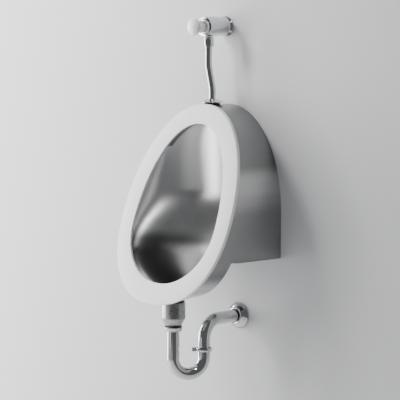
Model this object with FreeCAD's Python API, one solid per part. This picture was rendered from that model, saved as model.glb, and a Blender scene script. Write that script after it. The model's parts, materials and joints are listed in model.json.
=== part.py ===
import FreeCAD, Part
import math
import os
from FreeCAD import Vector

# Wall hung urinal in brushed stainless steel, with its push valve, flush tube, waste and trap.
#
# Millimetres, +Z up. The wall is the plane Y = 0 and the urinal stands out of it towards -Y.
# The origin is the centre of the four wall fixing holes. X = 0 is the urinal's middle plane.
# The rim is flat and leans back to the wall, so its outlines are drawn on its own plane:
# "along" is the distance up that plane from the rim's widest line, and "depth" is a shift
# from the plane straight towards the wall.

# ---------------------------------------------------------------- rim
rim_half_width = 180.0
rim_rise = 294.0            # along the rim, widest line to top
rim_drop = 229.0            # along the rim, widest line to bottom
rim_top_power = 2.05        # 2 is an ellipse, more is squarer
rim_bottom_power = 2.28
rim_lean = math.radians(20.9)
rim_reach = 199.0           # widest line to the wall
rim_height = -35.0          # widest line above the origin
rim_sheet = 1.5
rim_return = 9.0            # depth of the rim's outer turned edge
rim_round = 2.5
rim_face_sides = 43.0       # width of the rim's flat face at the sides, top and bottom
rim_face_top = 52.0
rim_face_bottom = 54.0
opening_sink = 23.0         # opening's widest line below the rim's
opening_half_width = rim_half_width - rim_face_sides
opening_rise = rim_rise - rim_face_top + opening_sink
opening_drop = rim_drop - rim_face_bottom - opening_sink
opening_power = 2.06
opening_return = 5.0
opening_round = 1.2

# ---------------------------------------------------------------- casing and chin
casing_sheet = 1.2
casing_half_width_at_wall = 175.0
casing_bottom_drop = 107.0  # below the rim's widest line
casing_flange = 15.0
seam_gap = 0.2              # between sheets that are welded along their edges
rim_gap = 0.7               # between the rim's turned edge and the casing, which widens behind it
chin_reach = 158.0          # chin's back to the wall, at its top
chin_back_lean = math.radians(6.8)
chin_taper = 5.0            # how much the chin narrows from rim to back
chin_round = 8.0
panel_screw_inset = 18.0
panel_screw_shank = 1.9
panel_screw_head = 4.0
panel_screw_rise = 2.2
panel_screw_length = 6.0

# ---------------------------------------------------------------- wall fixing
frame_sheet = 2.0
frame_width = 24.0
crossbar_width = 46.0
fixing_half_spacing_x = 90.0
fixing_half_spacing_z = 110.0
fixing_hole = 4.5
hanger_half_length = 130.0
hanger_width = 40.0
bracket_half_length = 108.0
bracket_width = 40.0
hook_half_spacing = 50.0
hook_width = 20.0
hook_rise = 12.0
hook_sheet = 2.5
hook_stand_off = 8.0
screw_head_clearance = 11.0

# ---------------------------------------------------------------- bowl
bowl_sheet = 1.2
bowl_margin = 16.0          # bowl's mouth outside the rim's opening
bowl_floor_drop = 196.0     # bowl's floor below the rim's widest line
bowl_top_rise = 243.0
bowl_levels = 13
bowl_reach = 66.0           # bowl's back to the wall, where it is deepest
bowl_to_chin = 6.0          # bowl's back in front of the chin's back
bowl_slope_rise = 165.0     # height over which the bowl's back slopes in above the chin
bowl_top_lean = 45.0        # how far the bowl's back leans out again towards its top
bowl_front_gap = 14.0       # bowl's widest place behind the rim, where it is upright
bowl_swell = 33.0           # and how much farther back that place is where the mouth closes
bowl_swell_start = 85.0     # from this far below the rim's widest line
bowl_lower_drop = 198.0
bowl_lower_power = 2.3
bowl_lower_margin = 18.0
drain_reach = chin_reach + 47.0   # drain axis to the wall
drain_hole = 24.6
drain_margin = 3.5          # bowl's flat floor round the waste's flange

# ---------------------------------------------------------------- flush channel
channel_sheet = 1.0
channel_clearance = 1.0
channel_height = 13.0
channel_depth = 25.0
channel_half_span = 92.0    # half width between its square ends, on the opening's edge
spray_hole = 2.0
spray_count = 9

# ---------------------------------------------------------------- inlet
inlet_reach = 65.0          # flush tube to the wall
spud_radius = 12.0
spud_bore = 9.3
spud_above_casing = 10.0
spud_below_casing = 25.0
spud_nut_across = 34.0
spud_nut_height = 8.0
gasket_radius = 20.0
gasket_height = 5.0
rosette_radius = 29.0
rosette_height = 9.0
rosette_sheet = 1.2
feed_radius = 6.0
feed_wall = 1.0
feed_bend = 14.0

# ---------------------------------------------------------------- flush tube
tube_radius = 9.0
tube_wall = 1.0
tube_bend = 60.0
tube_offset_top = 98.0      # bend starts this far below the valve
tube_offset_length = 58.0
tube_into_spud = 12.0

# ---------------------------------------------------------------- push valve
valve_side = -13.5          # valve axis from the middle plane
valve_height = 433.0
barrel_radius = 25.7
barrel_front_radius = 24.2
barrel_wall_radius = 22.0
barrel_front = 82.0         # distances from the wall
barrel_widest = 58.0
barrel_back = 12.0
chamber_radius = 17.0
chamber_back = 22.0
thread_radius = 19.5
thread_length = 12.0
thread_gap = 0.1
seat_front = 45.0
seat_thickness = 4.0
seat_hole = 8.0
seat_lip = 1.0
bonnet_front = 91.0
bonnet_radius = 20.5
bonnet_floor = 4.0
sleeve_end_radius = 14.5
sleeve_mouth_radius = 18.3
sleeve_wall = 1.5
sleeve_gap = 0.3
sleeve_end = 86.0
button_back = 118.0
button_radius = 21.9
button_dome = 9.5
button_edge = 4.0
button_round = 3.5
press_travel = 8.0
stem_radius = 3.0
stem_gap = 0.06
stem_end = 26.0
piston_radius = 13.0
piston_thickness = 3.0
washer_thickness = 3.0
stem_nut_across = 9.0
stem_nut_height = 3.0
ring_section = 1.1          # radius of the small sealing rings
spring_radius = 8.5
spring_wire = 0.7
spring_turns = 6
spring_end_gap = 0.3
nipple_radius = 10.45       # thread in the wall's supply
nipple_valve_radius = 9.8   # thread in the valve's barrel
nipple_bore = 7.5
nipple_into_wall = 20.0
nipple_into_valve = 8.0
wall_ring_radius = 26.0
outlet_neck_radius = 10.5
outlet_bore = 8.0
outlet_neck_drop = 42.0     # neck's end below the valve axis
union_top_drop = 28.0
union_bottom_drop = 50.0
union_radius = 13.0
union_seal = 2.0
tube_collar = 2.5

# ---------------------------------------------------------------- waste
waste_radius = 24.0
waste_bore = 21.0
waste_flange = 28.0
waste_flange_thickness = 2.5
bowl_seal_thickness = 2.0
waste_nut_across = 56.0
waste_nut_height = 6.0
waste_into_cup = 22.0
strainer_gap = 0.4
strainer_thickness = 1.5
strainer_dome = 1.8
strainer_hole = 2.6
strainer_ring_counts = (6, 12)
strainer_ring_radii = (9.0, 15.5)
strainer_screw_head = 4.5
strainer_screw_shank = 2.0
belt_hole = 25.0
belt_seal_radius = 28.0
belt_seal_height = 3.5
cup_radius = 30.5
cup_wall = 2.5
cup_straight = 40.0
cup_taper = 19.0
cup_neck_radius = 19.0
cup_neck_length = 8.0
neck_ring_height = 3.0

# ---------------------------------------------------------------- trap
trap_radius = 16.0
trap_wall = 1.0
trap_gap = 0.2
trap_nut_radius = 24.3
trap_nut_height = 11.0
trap_nut_floor = 3.0
trap_into_cup = 18.0
trap_bend = 41.0
trap_turn = math.radians(27.0)   # the U-bend's swing from straight back
trap_low = 434.0            # lowest point of the U-bend's centre line below the origin
trap_outlet_drop = 301.0    # outlet's centre line below the origin
trap_joint_rise = 19.5      # joint above the U-bend's round part
outlet_bend_radius = 48.0
outlet_into_wall = 30.0
outlet_groove_width = 1.5   # shallow groove that shows how far the tube goes into the wall
outlet_groove_depth = 0.3
joint_seal_wall = 2.6
joint_seal_height = 8.0
clamp_wall = 2.2
clamp_height = 9.0
clamp_ear = 9.0
clamp_ear_thickness = 2.5
clamp_split = 4.0
wall_flange_radius = 33.5
wall_flange_depth = 12.0
wall_flange_hub = 20.5
wall_flange_hub_depth = 17.0
wall_flange_sheet = 1.2

# ---------------------------------------------------------------- worked-out places
MIDDLE = Vector(0, 0, 0)
UP = Vector(0, 0, 1)
TO_WALL = Vector(0, 1, 0)
far = 2 * (rim_rise + rim_drop)   # beyond every piece
rim_plate_depth = rim_sheet / math.cos(rim_lean)
casing_inset = rim_sheet + rim_gap
casing_top = rim_height + (rim_rise - casing_inset) * math.cos(rim_lean)
casing_bottom = rim_height - casing_bottom_drop
chin_bottom = rim_height - (rim_drop - casing_inset) * math.cos(rim_lean)
bowl_floor = rim_height - bowl_floor_drop
bowl_top = rim_height + bowl_top_rise
drain = Vector(0, -drain_reach, 0)
inlet = Vector(0, -inlet_reach, 0)
valve = Vector(valve_side, 0, valve_height)
valve_outlet = Vector(valve_side, -inlet_reach, valve_height)
channel_top_along = opening_rise - opening_sink + channel_clearance
trap_joint_drop = trap_low - trap_bend - trap_joint_rise   # joint between U-bend and outlet bend
feed_height = rim_height + (channel_top_along + channel_height / 2) * math.cos(rim_lean)

os.makedirs("parts", exist_ok=True)


# ---------------------------------------------------------------- tools for outlines
def on_rim(across, along, depth=0.0):
    """A point given on the rim's plane, shifted by depth towards the wall."""
    y = -rim_reach + along * math.sin(rim_lean) + depth
    return Vector(across, y, rim_height + along * math.cos(rim_lean))


def power_curve(width, height, power, turn):
    """A point of the curve |x/width|^power + |y/height|^power = 1."""
    c = math.cos(turn)
    s = math.sin(turn)
    x = width * math.copysign(abs(c) ** (2 / power), c)
    return x, height * abs(s) ** (2 / power)


def power_width(width, height, power, at):
    """Half width of that curve at the height "at"."""
    share = min(abs(at) / height, 1.0)
    return width * (1 - share ** power) ** (1 / power)


def smooth_edge(points, periodic=False):
    curve = Part.BSplineCurve()
    curve.interpolate(Points=points, PeriodicFlag=periodic)
    return curve.toShape()


def face_of(*edges):
    return Part.Face(Part.Wire(list(edges)))


def egg_face(width, rise, drop, top_power, bottom_power, sink, depth):
    """A closed egg outline on the rim's plane, as a face."""
    steps = 28
    points = []
    for i in range(2 * steps):
        turn = math.pi * i / steps
        height, power, way = rise, top_power, 1
        if i > steps:
            height, power, way = drop, bottom_power, -1
        x, y = power_curve(width, height, power, turn)
        points.append(on_rim(x, way * y - sink, depth))
    return face_of(smooth_edge(points, True))


def rim_face(inset, depth):
    return egg_face(rim_half_width - inset, rim_rise - inset, rim_drop - inset,
                    rim_top_power, rim_bottom_power, 0.0, depth)


def opening_face(outset, depth):
    return egg_face(opening_half_width + outset, opening_rise + outset, opening_drop + outset,
                    opening_power, opening_power, opening_sink, depth)


def towards_wall(face, length):
    return face.extrude(TO_WALL * length)


def behind_rim(depth):
    """All the space behind the rim's plane, shifted by depth."""
    corners = [on_rim(sx * far, sy * far, depth) for sx, sy in ((-1, -1), (1, -1), (1, 1), (-1, 1))]
    return towards_wall(Part.Face(Part.makePolygon(corners + corners[:1])), far)


def block(x0, x1, y0, y1, z0, z1):
    return Part.makeBox(x1 - x0, y1 - y0, z1 - z0, Vector(x0, y0, z0))


def rod(radius, length, start, direction):
    return Part.makeCylinder(radius, length, start, direction)


def pipe(radius, bore, length, start, direction):
    return rod(radius, length, start, direction).cut(rod(bore, length, start, direction))


def turned(profile, centre, axis):
    """Revolves corners (radius, place along the axis). A pair of corners is an arc: middle, end."""
    def place(corner):
        if axis == UP:
            return Vector(corner[0], 0, corner[1])
        return Vector(corner[0], corner[1], 0)

    edges = []
    here = place(profile[0])
    for item in profile[1:] + profile[:1]:
        if isinstance(item[0], tuple):
            end = place(item[1])
            edges.append(Part.Arc(here, place(item[0]), end).toShape())
        else:
            end = place(item)
            edges.append(Part.LineSegment(here, end).toShape())
        here = end
    solid = face_of(*edges).revolve(MIDDLE, axis, 360)
    solid.translate(centre)
    return solid


def dome(radius, base, rise):
    """The last corners of a turned profile that ends in a round cap on the axis."""
    ball = (radius ** 2 + rise ** 2) / (2 * rise)
    half_turn = math.asin(radius / abs(ball)) / 2
    centre = base + rise - ball
    return (abs(ball) * math.sin(half_turn), centre + ball * math.cos(half_turn)), (0, base + rise)


def hexagon(across, height, bottom, bore):
    """A hexagon nut on an upright axis, its bottom face at "bottom"."""
    radius = across / math.sqrt(3)
    corners = [Vector(radius * math.cos(math.radians(60 * i)), radius * math.sin(math.radians(60 * i)), 0)
               for i in range(7)]
    nut = Part.Face(Part.makePolygon(corners)).extrude(UP * height)
    nut.translate(bottom)
    return nut.cut(rod(bore, height, bottom, UP))


def tube_run(points, bend, outer, inner):
    """A round tube through the points, with one bend radius at each inner corner."""
    sections = []
    start = points[0]
    for i in range(1, len(points) - 1):
        before = (points[i] - points[i - 1]).normalize()
        after = (points[i + 1] - points[i]).normalize()
        turn = before.getAngle(after)
        tangent = bend * math.tan(turn / 2)
        arc_start = points[i] - before * tangent
        axis = before.cross(after).normalize()
        centre = arc_start + axis.cross(before) * bend
        sections.append(("straight", start, before, (arc_start - start).Length))
        sections.append(("arc", arc_start, before, (centre, axis, math.degrees(turn))))
        start = points[i] + after * tangent
    last = (points[-1] - points[-2]).normalize()
    sections.append(("straight", start, last, (points[-1] - start).Length))

    def sweep(radius):
        made = []
        for kind, at, way, data in sections:
            disc = Part.Face(Part.Wire(Part.makeCircle(radius, at, way)))
            if kind == "straight":
                made.append(disc.extrude(way * data))
            else:
                made.append(disc.revolve(data[0], data[1], data[2]))
        return made[0].multiFuse(made[1:])

    return sweep(outer).cut(sweep(inner))


def save(name, shape):
    """Writes one sub-part and says how many solids it has."""
    solids = shape.Solids
    print(name, len(solids), "solid(s)", round(shape.Volume / 1000, 2), "cm3", shape.isValid())
    whole = solids[0] if len(solids) == 1 else Part.makeCompound(solids)
    whole.exportStep(os.path.join("parts", name + ".step"))


# ---------------------------------------------------------------- rim
def front_rim():
    plate = towards_wall(rim_face(0.0, 0.0), rim_return)
    lip = towards_wall(opening_face(rim_sheet, rim_plate_depth / 2), opening_return)
    hollow = towards_wall(rim_face(rim_sheet, rim_plate_depth), rim_return)
    mouth = towards_wall(opening_face(0.0, -rim_return), 3 * rim_return)
    rim = plate.cut(hollow).fuse(lip).cut(mouth).removeSplitter()
    front = [e for e in rim.Edges if abs(distance_behind_rim(e.CenterOfMass)) < 0.01]
    outer = max(front, key=lambda e: e.Length)
    inner = min(front, key=lambda e: e.Length)
    rim = rim.makeFillet(min(rim_round, 1.6 * rim_sheet), [outer])
    inner = [e for e in rim.Edges if abs(e.Length - inner.Length) < 0.01
             and abs(distance_behind_rim(e.CenterOfMass)) < 0.01]
    return rim.makeFillet(min(opening_round, 0.8 * rim_sheet), inner)


def distance_behind_rim(point):
    return point.y - on_rim(0, (point.z - rim_height) / math.cos(rim_lean)).y


# ---------------------------------------------------------------- casing
def casing_wires(inset, extra_drop):
    """The casing's outline at the rim and at the wall, with matching edges."""
    steps = 12
    half_width = rim_half_width - inset
    rise = rim_rise - inset
    drop = rim_drop - inset
    low = (casing_bottom_drop + extra_drop) / math.cos(rim_lean)
    side = []
    for i in range(steps + 1):
        along = low * (1 - i / steps)
        side.append((power_width(half_width, drop, rim_bottom_power, along), -along))
    arch = [power_curve(half_width, rise, rim_top_power, math.pi * i / 24) for i in range(25)]
    right = [on_rim(x, y, rim_plate_depth) for x, y in side]
    left = [on_rim(-x, y, rim_plate_depth) for x, y in reversed(side)]
    over = [on_rim(x, y, rim_plate_depth) for x, y in arch]
    rim_wire = Part.Wire([
        smooth_edge(right),
        smooth_edge(over),
        smooth_edge(left),
        Part.LineSegment(left[-1], right[0]).toShape(),
    ])
    wall_half = casing_half_width_at_wall - (inset - casing_inset)
    wall_rise = rise * math.cos(rim_lean)
    bottom = -casing_bottom_drop - extra_drop
    wall_arch = [power_curve(wall_half, wall_rise, rim_top_power, math.pi * i / 24) for i in range(25)]
    over = [Vector(x, 0, rim_height + z) for x, z in wall_arch]
    low_right = Vector(wall_half, 0, rim_height + bottom)
    low_left = Vector(-wall_half, 0, rim_height + bottom)
    wall_wire = Part.Wire([
        Part.LineSegment(low_right, over[0]).toShape(),
        smooth_edge(over),
        Part.LineSegment(over[-1], low_left).toShape(),
        Part.LineSegment(low_left, low_right).toShape(),
    ])
    return rim_wire, wall_wire


def casing_block(inset, extra_drop=0.0):
    return Part.makeLoft(list(casing_wires(inset, extra_drop)), True, True)


def casing_shell(outer, inner):
    """Sides and arched top, with a flange turned in along the bottom edges."""
    above = block(-far, far, -far, far, casing_bottom + casing_sheet, far)
    narrow = casing_block(casing_inset + casing_flange, 20.0)
    shell = outer.cut(inner.common(above)).cut(narrow)
    hole = rod(spud_radius + 0.3, 40, inlet + UP * (casing_top - 20), UP)
    shell = shell.cut(hole)
    for spot in panel_screw_spots():
        shell = shell.cut(rod(panel_screw_shank + 0.1, 4, spot - UP * 1, UP))
    return shell


def panel_screw_spots():
    """Where the bottom panel is screwed up into the casing's flange."""
    spots = []
    for reach in (panel_screw_inset, chin_reach - panel_screw_inset):
        share = reach / (rim_reach + casing_bottom_drop * math.tan(rim_lean))
        at_rim = power_width(rim_half_width, rim_drop, rim_bottom_power,
                             casing_bottom_drop / math.cos(rim_lean))
        half = casing_half_width_at_wall + share * (at_rim - casing_half_width_at_wall)
        for side in (-1, 1):
            spots.append(Vector(side * (half - casing_flange / 2 - casing_sheet), -reach, casing_bottom))
    return spots


def bottom_panel(outer):
    """Removable cover under the casing, from the chin's back to the wall."""
    slab = block(-far, far, -chin_reach + seam_gap, -seam_gap, casing_bottom, casing_bottom + casing_sheet)
    panel = outer.common(slab)
    panel.translate(UP * -casing_sheet)
    for spot in panel_screw_spots():
        panel = panel.cut(rod(panel_screw_shank + 0.1, 4, spot - UP * 2, UP))
    return panel


def panel_screws():
    bottom = casing_bottom - casing_sheet
    screws = []
    for spot in panel_screw_spots():
        base = Vector(spot.x, spot.y, bottom)
        screws.append(turned([(0, panel_screw_length), (panel_screw_shank, panel_screw_length),
                              (panel_screw_shank, 0), (panel_screw_head, 0),
                              dome(panel_screw_head, 0, -panel_screw_rise)], base, UP))
    return Part.makeCompound(screws)


def chin_block(inset, sheet):
    """The chin as a solid block: the rim's lower outline carried back to a leaning plane."""
    steps = 32
    top_along = casing_bottom_drop / math.cos(rim_lean)

    def lower_outline(half_width, drop, place):
        first = math.asin((top_along / drop) ** (rim_bottom_power / 2))
        points = []
        for i in range(steps + 1):
            turn = first + (math.pi - 2 * first) * i / steps
            x, y = power_curve(half_width, drop, rim_bottom_power, turn)
            points.append(place(x, -y))
        return Part.Wire([smooth_edge(points), Part.LineSegment(points[-1], points[0]).toShape()])

    def at_back(across, along):
        down = -along * math.cos(rim_lean) - casing_bottom_drop
        y = -chin_reach - down * math.tan(chin_back_lean) - sheet
        return Vector(across, y, rim_height + along * math.cos(rim_lean))

    front = lower_outline(rim_half_width - inset, rim_drop - inset,
                          lambda x, y: on_rim(x, y, rim_plate_depth))
    narrow = inset + chin_taper
    back = lower_outline(rim_half_width - narrow, rim_drop - narrow, at_back)
    block_of_chin = Part.makeLoft([front, back], True, True)
    curved = [e for e in block_of_chin.Edges if abs(e.CenterOfMass.x) < 1 and e.CenterOfMass.z < casing_bottom - 1]
    return block_of_chin.makeFillet(chin_round - sheet, [max(curved, key=lambda e: e.CenterOfMass.y)])


def chin_shell(outer_chin):
    """Pressed pan under the casing: open at its top and at the rim."""
    inner = chin_block(casing_inset + casing_sheet, casing_sheet)
    raised = inner.copy()
    raised.translate(UP * 0.01)
    shell = outer_chin.cut(inner).cut(raised)
    return shell.cut(rod(belt_hole, 60, drain + UP * (chin_bottom - 30), UP))


# ---------------------------------------------------------------- wall fixing
def wall_outline(inset, at_y):
    """The casing's outline at the wall, moved in by inset, as a face at Y = at_y."""
    half = casing_half_width_at_wall - inset
    rise = (rim_rise - casing_inset) * math.cos(rim_lean) - inset
    bottom = casing_bottom + inset
    arch = [power_curve(half, rise, rim_top_power, math.pi * i / 24) for i in range(25)]
    over = [Vector(x, at_y, rim_height + z) for x, z in arch]
    low_right = Vector(half, at_y, bottom)
    low_left = Vector(-half, at_y, bottom)
    return face_of(
        Part.LineSegment(low_right, over[0]).toShape(),
        smooth_edge(over),
        Part.LineSegment(over[-1], low_left).toShape(),
        Part.LineSegment(low_left, low_right).toShape(),
    )


def back_frame():
    """Flat ring round the casing's back edge, with a lower crossbar for two wall screws."""
    inset = casing_sheet + seam_gap
    ring = towards_wall(wall_outline(inset, -frame_sheet), frame_sheet)
    window = towards_wall(wall_outline(inset + frame_width, -frame_sheet), frame_sheet)
    crossbar = ring.common(block(-rim_half_width, rim_half_width, -frame_sheet, 0, casing_bottom,
                                 casing_bottom + crossbar_width + inset))
    frame = ring.cut(window).fuse(crossbar).removeSplitter()
    for side in (-1, 1):
        at = Vector(side * fixing_half_spacing_x, -frame_sheet, -fixing_half_spacing_z)
        frame = frame.cut(rod(fixing_hole, frame_sheet, at, TO_WALL))
    return frame


def hanger_bar():
    """Strip across the frame that hangs on the bracket's hooks."""
    front = -2 * frame_sheet - seam_gap
    middle = fixing_half_spacing_z
    bar = block(-hanger_half_length, hanger_half_length, front, front + frame_sheet,
                middle - hanger_width / 2, middle + hanger_width / 2)
    for side in (-1, 1):
        slot_x = side * hook_half_spacing
        bar = bar.cut(block(slot_x - hook_width / 2 - 1, slot_x + hook_width / 2 + 1, front,
                            front + frame_sheet, middle - hook_rise - 2, middle + hook_sheet / 2))
        at = Vector(side * fixing_half_spacing_x, front, middle)
        bar = bar.cut(rod(screw_head_clearance, frame_sheet, at, TO_WALL))
    return bar


def wall_bracket():
    """Plate screwed to the wall, with two hooks bent out and up."""
    middle = fixing_half_spacing_z
    plate = block(-bracket_half_length, bracket_half_length, -frame_sheet, 0,
                  middle - bracket_width / 2, middle + bracket_width / 2)
    top = middle + hook_sheet / 2 - 0.1
    for side in (-1, 1):
        x0 = side * hook_half_spacing - hook_width / 2
        x1 = x0 + hook_width
        step = block(x0, x1, -hook_stand_off, -frame_sheet / 2, top - hook_sheet, top)
        tip = block(x0, x1, -hook_stand_off, -hook_stand_off + hook_sheet, top - hook_sheet, top + hook_rise)
        plate = plate.fuse(step).fuse(tip)
        at = Vector(side * fixing_half_spacing_x, -frame_sheet, middle)
        plate = plate.cut(rod(fixing_hole, frame_sheet, at, TO_WALL))
    return plate.removeSplitter()


# ---------------------------------------------------------------- bowl
def bowl_back(height):
    """Distance from the wall to the bowl's back at a height above the rim's widest line."""
    below = max(0.0, -casing_bottom_drop - height)
    share = min(max((height + casing_bottom_drop) / bowl_slope_rise, 0.0), 1.0)
    slope = 0.5 - 0.5 * math.cos(math.pi * share)
    above = max(0.0, height + casing_bottom_drop - bowl_slope_rise) / (bowl_top_rise + casing_bottom_drop)
    sump_back = chin_reach + bowl_to_chin
    reach = sump_back + (bowl_reach - sump_back) * slope
    return reach + below * math.tan(chin_back_lean) + bowl_top_lean * above ** 2


def bowl_bulge(height):
    """How far behind the rim's plane the bowl is widest: it swells forward over the drain."""
    mouth_end = (opening_drop + bowl_margin + opening_sink) * math.cos(rim_lean)
    share = max(0.0, -height - bowl_swell_start) / (mouth_end - bowl_swell_start)
    return bowl_front_gap + bowl_swell * share ** 1.5


def bowl_level(height, grow):
    """One flat oval through the bowl, wide enough to meet the rim outside its opening."""
    along = height / math.cos(rim_lean)
    behind = bowl_bulge(height)
    centre_y = on_rim(0, along).y + behind
    half_depth = -bowl_back(height) - centre_y
    if along < -opening_sink:
        half_width = power_width(opening_half_width + bowl_lower_margin, bowl_lower_drop,
                                 bowl_lower_power, along + opening_sink)
    else:
        mouth = power_width(opening_half_width + bowl_margin, opening_rise + bowl_margin,
                            opening_power, along + opening_sink)
        half_width = mouth / math.sqrt(1 - (behind / half_depth) ** 2)
    return oval(half_width + grow, half_depth + grow, centre_y, rim_height + height)


def oval(half_width, half_depth, centre_y, height):
    turns = [math.pi * i / 8 for i in range(16)]
    return Part.Wire([smooth_edge([Vector(half_width * math.cos(t), centre_y + half_depth * math.sin(t), height)
                                   for t in turns], True)])


def bowl_block(grow):
    floor_half = waste_flange + drain_margin
    top_y = on_rim(0, bowl_top_rise / math.cos(rim_lean)).y + bowl_front_gap
    lowest = -bowl_floor_drop + 10
    highest = bowl_top_rise - 20
    floor_y = -drain_reach - drain_margin / 2
    sections = [oval(floor_half + 4 * drain_margin + grow, floor_half + grow, floor_y, bowl_floor - grow)]
    for i in range(bowl_levels):
        sections.append(bowl_level(lowest + (highest - lowest) * i / (bowl_levels - 1), grow))
    sections.append(oval(42 + grow, 13 + grow, top_y, bowl_top + grow))
    return Part.makeLoft(sections, True, False)


def bowl():
    space = behind_rim(rim_plate_depth + 0.05)
    shell = bowl_block(bowl_sheet).common(space).cut(bowl_block(0.0).common(space))
    shell = shell.cut(rod(drain_hole, 20, drain + UP * (bowl_floor - 10), UP))
    feed_start = Vector(0, -channel_back_reach() - 10, feed_height)
    return shell.cut(rod(feed_radius + 0.3, 40, feed_start, TO_WALL))


# ---------------------------------------------------------------- flush channel
def channel_back_reach():
    """Distance of the channel's back from the wall, at its top."""
    along = channel_top_along + channel_height / 2
    return -on_rim(0, along, rim_plate_depth + channel_depth).y


def flush_channel():
    """Arched channel behind the rim, open to the rim's back, that rains on the bowl's sides."""
    start = rim_plate_depth + 0.1
    outset = channel_clearance + rim_sheet
    outer = towards_wall(opening_face(outset + channel_height, start), channel_depth)
    outer = outer.cut(towards_wall(opening_face(outset, start), channel_depth))
    hollow = towards_wall(opening_face(outset + channel_height - channel_sheet, start),
                          channel_depth - channel_sheet)
    hollow = hollow.cut(towards_wall(opening_face(outset + channel_sheet, start), channel_depth))
    share = channel_half_span / opening_half_width
    end_along = opening_rise * (1 - share ** opening_power) ** (1 / opening_power) - opening_sink
    end_height = rim_height + end_along * math.cos(rim_lean)
    outer = outer.common(block(-far, far, -far, 0, end_height, far))
    hollow = hollow.common(block(-far, far, -far, 0, end_height + channel_sheet, far))
    channel = outer.cut(hollow)
    for i in range(spray_count):
        x = channel_half_span * 0.85 * (2 * i / (spray_count - 1) - 1)
        along = power_width(opening_rise, opening_half_width, opening_power, x) - opening_sink
        at = on_rim(x, along, rim_plate_depth + channel_depth / 2)
        channel = channel.cut(rod(spray_hole, 10, at - UP * 4, UP))
    feed_start = Vector(0, -channel_back_reach() - 5, feed_height)
    return channel.cut(rod(feed_radius + 0.1, 10, feed_start, TO_WALL))


def feed_elbow():
    """Bent tube from the spud to the flush channel's back."""
    top = Vector(0, -inlet_reach, casing_top - spud_below_casing + 8)
    corner = Vector(0, -inlet_reach, feed_height)
    end = Vector(0, -channel_back_reach() - channel_sheet, feed_height)
    return tube_run([top, corner, end], feed_bend, feed_radius, feed_radius - feed_wall)


# ---------------------------------------------------------------- inlet
def inlet_spud():
    bottom = casing_top - spud_below_casing
    top = casing_top + spud_above_casing
    lower_bore = feed_radius + 0.1
    return turned([(lower_bore, bottom), (spud_radius, bottom), (spud_radius, top), (spud_bore, top),
                   (spud_bore, bottom + 12), (lower_bore, bottom + 10)], inlet, UP)


def spud_locknut():
    bottom = inlet + UP * (casing_top - casing_sheet - spud_nut_height - 3.0)
    return hexagon(spud_nut_across, spud_nut_height, bottom, spud_radius + 0.1)


def spud_washer(inner):
    """Steel washer between the locknut and the casing, curved to the casing's inside."""
    bottom = casing_top - casing_sheet - 3.0
    ring = pipe(spud_nut_across / 2, spud_radius + 0.1, 6, inlet + UP * bottom, UP)
    return ring.common(inner)


def inlet_gasket(outer):
    """Rubber ring whose underside follows the casing's curve."""
    ring = pipe(gasket_radius, spud_radius + 0.2, gasket_height + 6, inlet + UP * (casing_top - 6), UP)
    return ring.cut(outer)


def inlet_rosette():
    """Domed flange over the spud, with a close hole for the flush tube."""
    base = casing_top + gasket_height
    top = base + rosette_height
    bore = tube_radius + 0.2
    sheet = rosette_sheet
    return turned([
        (rosette_radius, base), (rosette_radius, base + 2),
        ((rosette_radius - 3, base + 6), (bore + 6, top - 1)), (bore + 4, top), (bore, top),
        (bore, top - sheet), (bore + 4, top - sheet),
        ((rosette_radius - 4.6, base + 5), (rosette_radius - sheet, base + sheet)),
        (gasket_radius + 0.5, base + sheet), (gasket_radius - 4, base + sheet), (gasket_radius - 4, base),
    ], inlet, UP)


def spud_seal():
    """Rubber ring that seals the flush tube in the spud."""
    bottom = casing_top + spud_above_casing
    return turned([(tube_radius + 0.05, bottom), (spud_radius, bottom), (tube_radius + 0.8, bottom + 2.4),
                   (tube_radius + 0.05, bottom + 2.4)], inlet, UP)


def flush_tube():
    top = valve_outlet - UP * (outlet_neck_drop + union_seal)
    upper = valve_outlet - UP * tube_offset_top
    lower = Vector(0, -inlet_reach, upper.z - tube_offset_length)
    bottom = Vector(0, -inlet_reach, casing_top - tube_into_spud)
    tube = tube_run([top, upper, lower, bottom], tube_bend, tube_radius, tube_radius - tube_wall)
    collar = pipe(outlet_neck_radius, tube_radius - tube_wall, tube_collar, top - UP * tube_collar, UP)
    return tube.fuse(collar).removeSplitter()


# ---------------------------------------------------------------- push valve
def valve_body():
    barrel = turned([
        (0, -barrel_front), (barrel_front_radius, -barrel_front),
        ((barrel_radius, -barrel_widest - 4), (barrel_wall_radius, -barrel_back)), (0, -barrel_back),
    ], valve, TO_WALL)
    neck = rod(outlet_neck_radius, outlet_neck_drop, valve_outlet - UP * outlet_neck_drop, UP)
    body = barrel.fuse(neck)
    body = body.cut(rod(thread_radius, thread_length, valve - TO_WALL * barrel_front, TO_WALL))
    depth = barrel_front - chamber_back
    body = body.cut(rod(chamber_radius, depth, valve - TO_WALL * barrel_front, TO_WALL))
    body = body.cut(rod(nipple_valve_radius + thread_gap, chamber_back, valve - TO_WALL * chamber_back, TO_WALL))
    return body.cut(rod(outlet_bore, outlet_neck_drop, valve_outlet - UP * outlet_neck_drop, UP))


def seat_ring():
    back = -seat_front + seat_thickness
    return turned([
        (seat_hole, -seat_front), (chamber_radius - thread_gap, -seat_front),
        (chamber_radius - thread_gap, back - seat_lip), (seat_hole + 3, back - seat_lip),
        (seat_hole + 2, back), (seat_hole, back),
    ], valve, TO_WALL)


def inlet_nipple():
    """Threaded tail: the narrow end screws into the barrel, the wide end into the supply in the wall."""
    inside = barrel_back + nipple_into_valve
    return turned([
        (nipple_bore, -inside), (nipple_valve_radius, -inside), (nipple_valve_radius, 0),
        (nipple_radius, 0), (nipple_radius, nipple_into_wall), (nipple_bore, nipple_into_wall),
    ], valve, TO_WALL)


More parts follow.
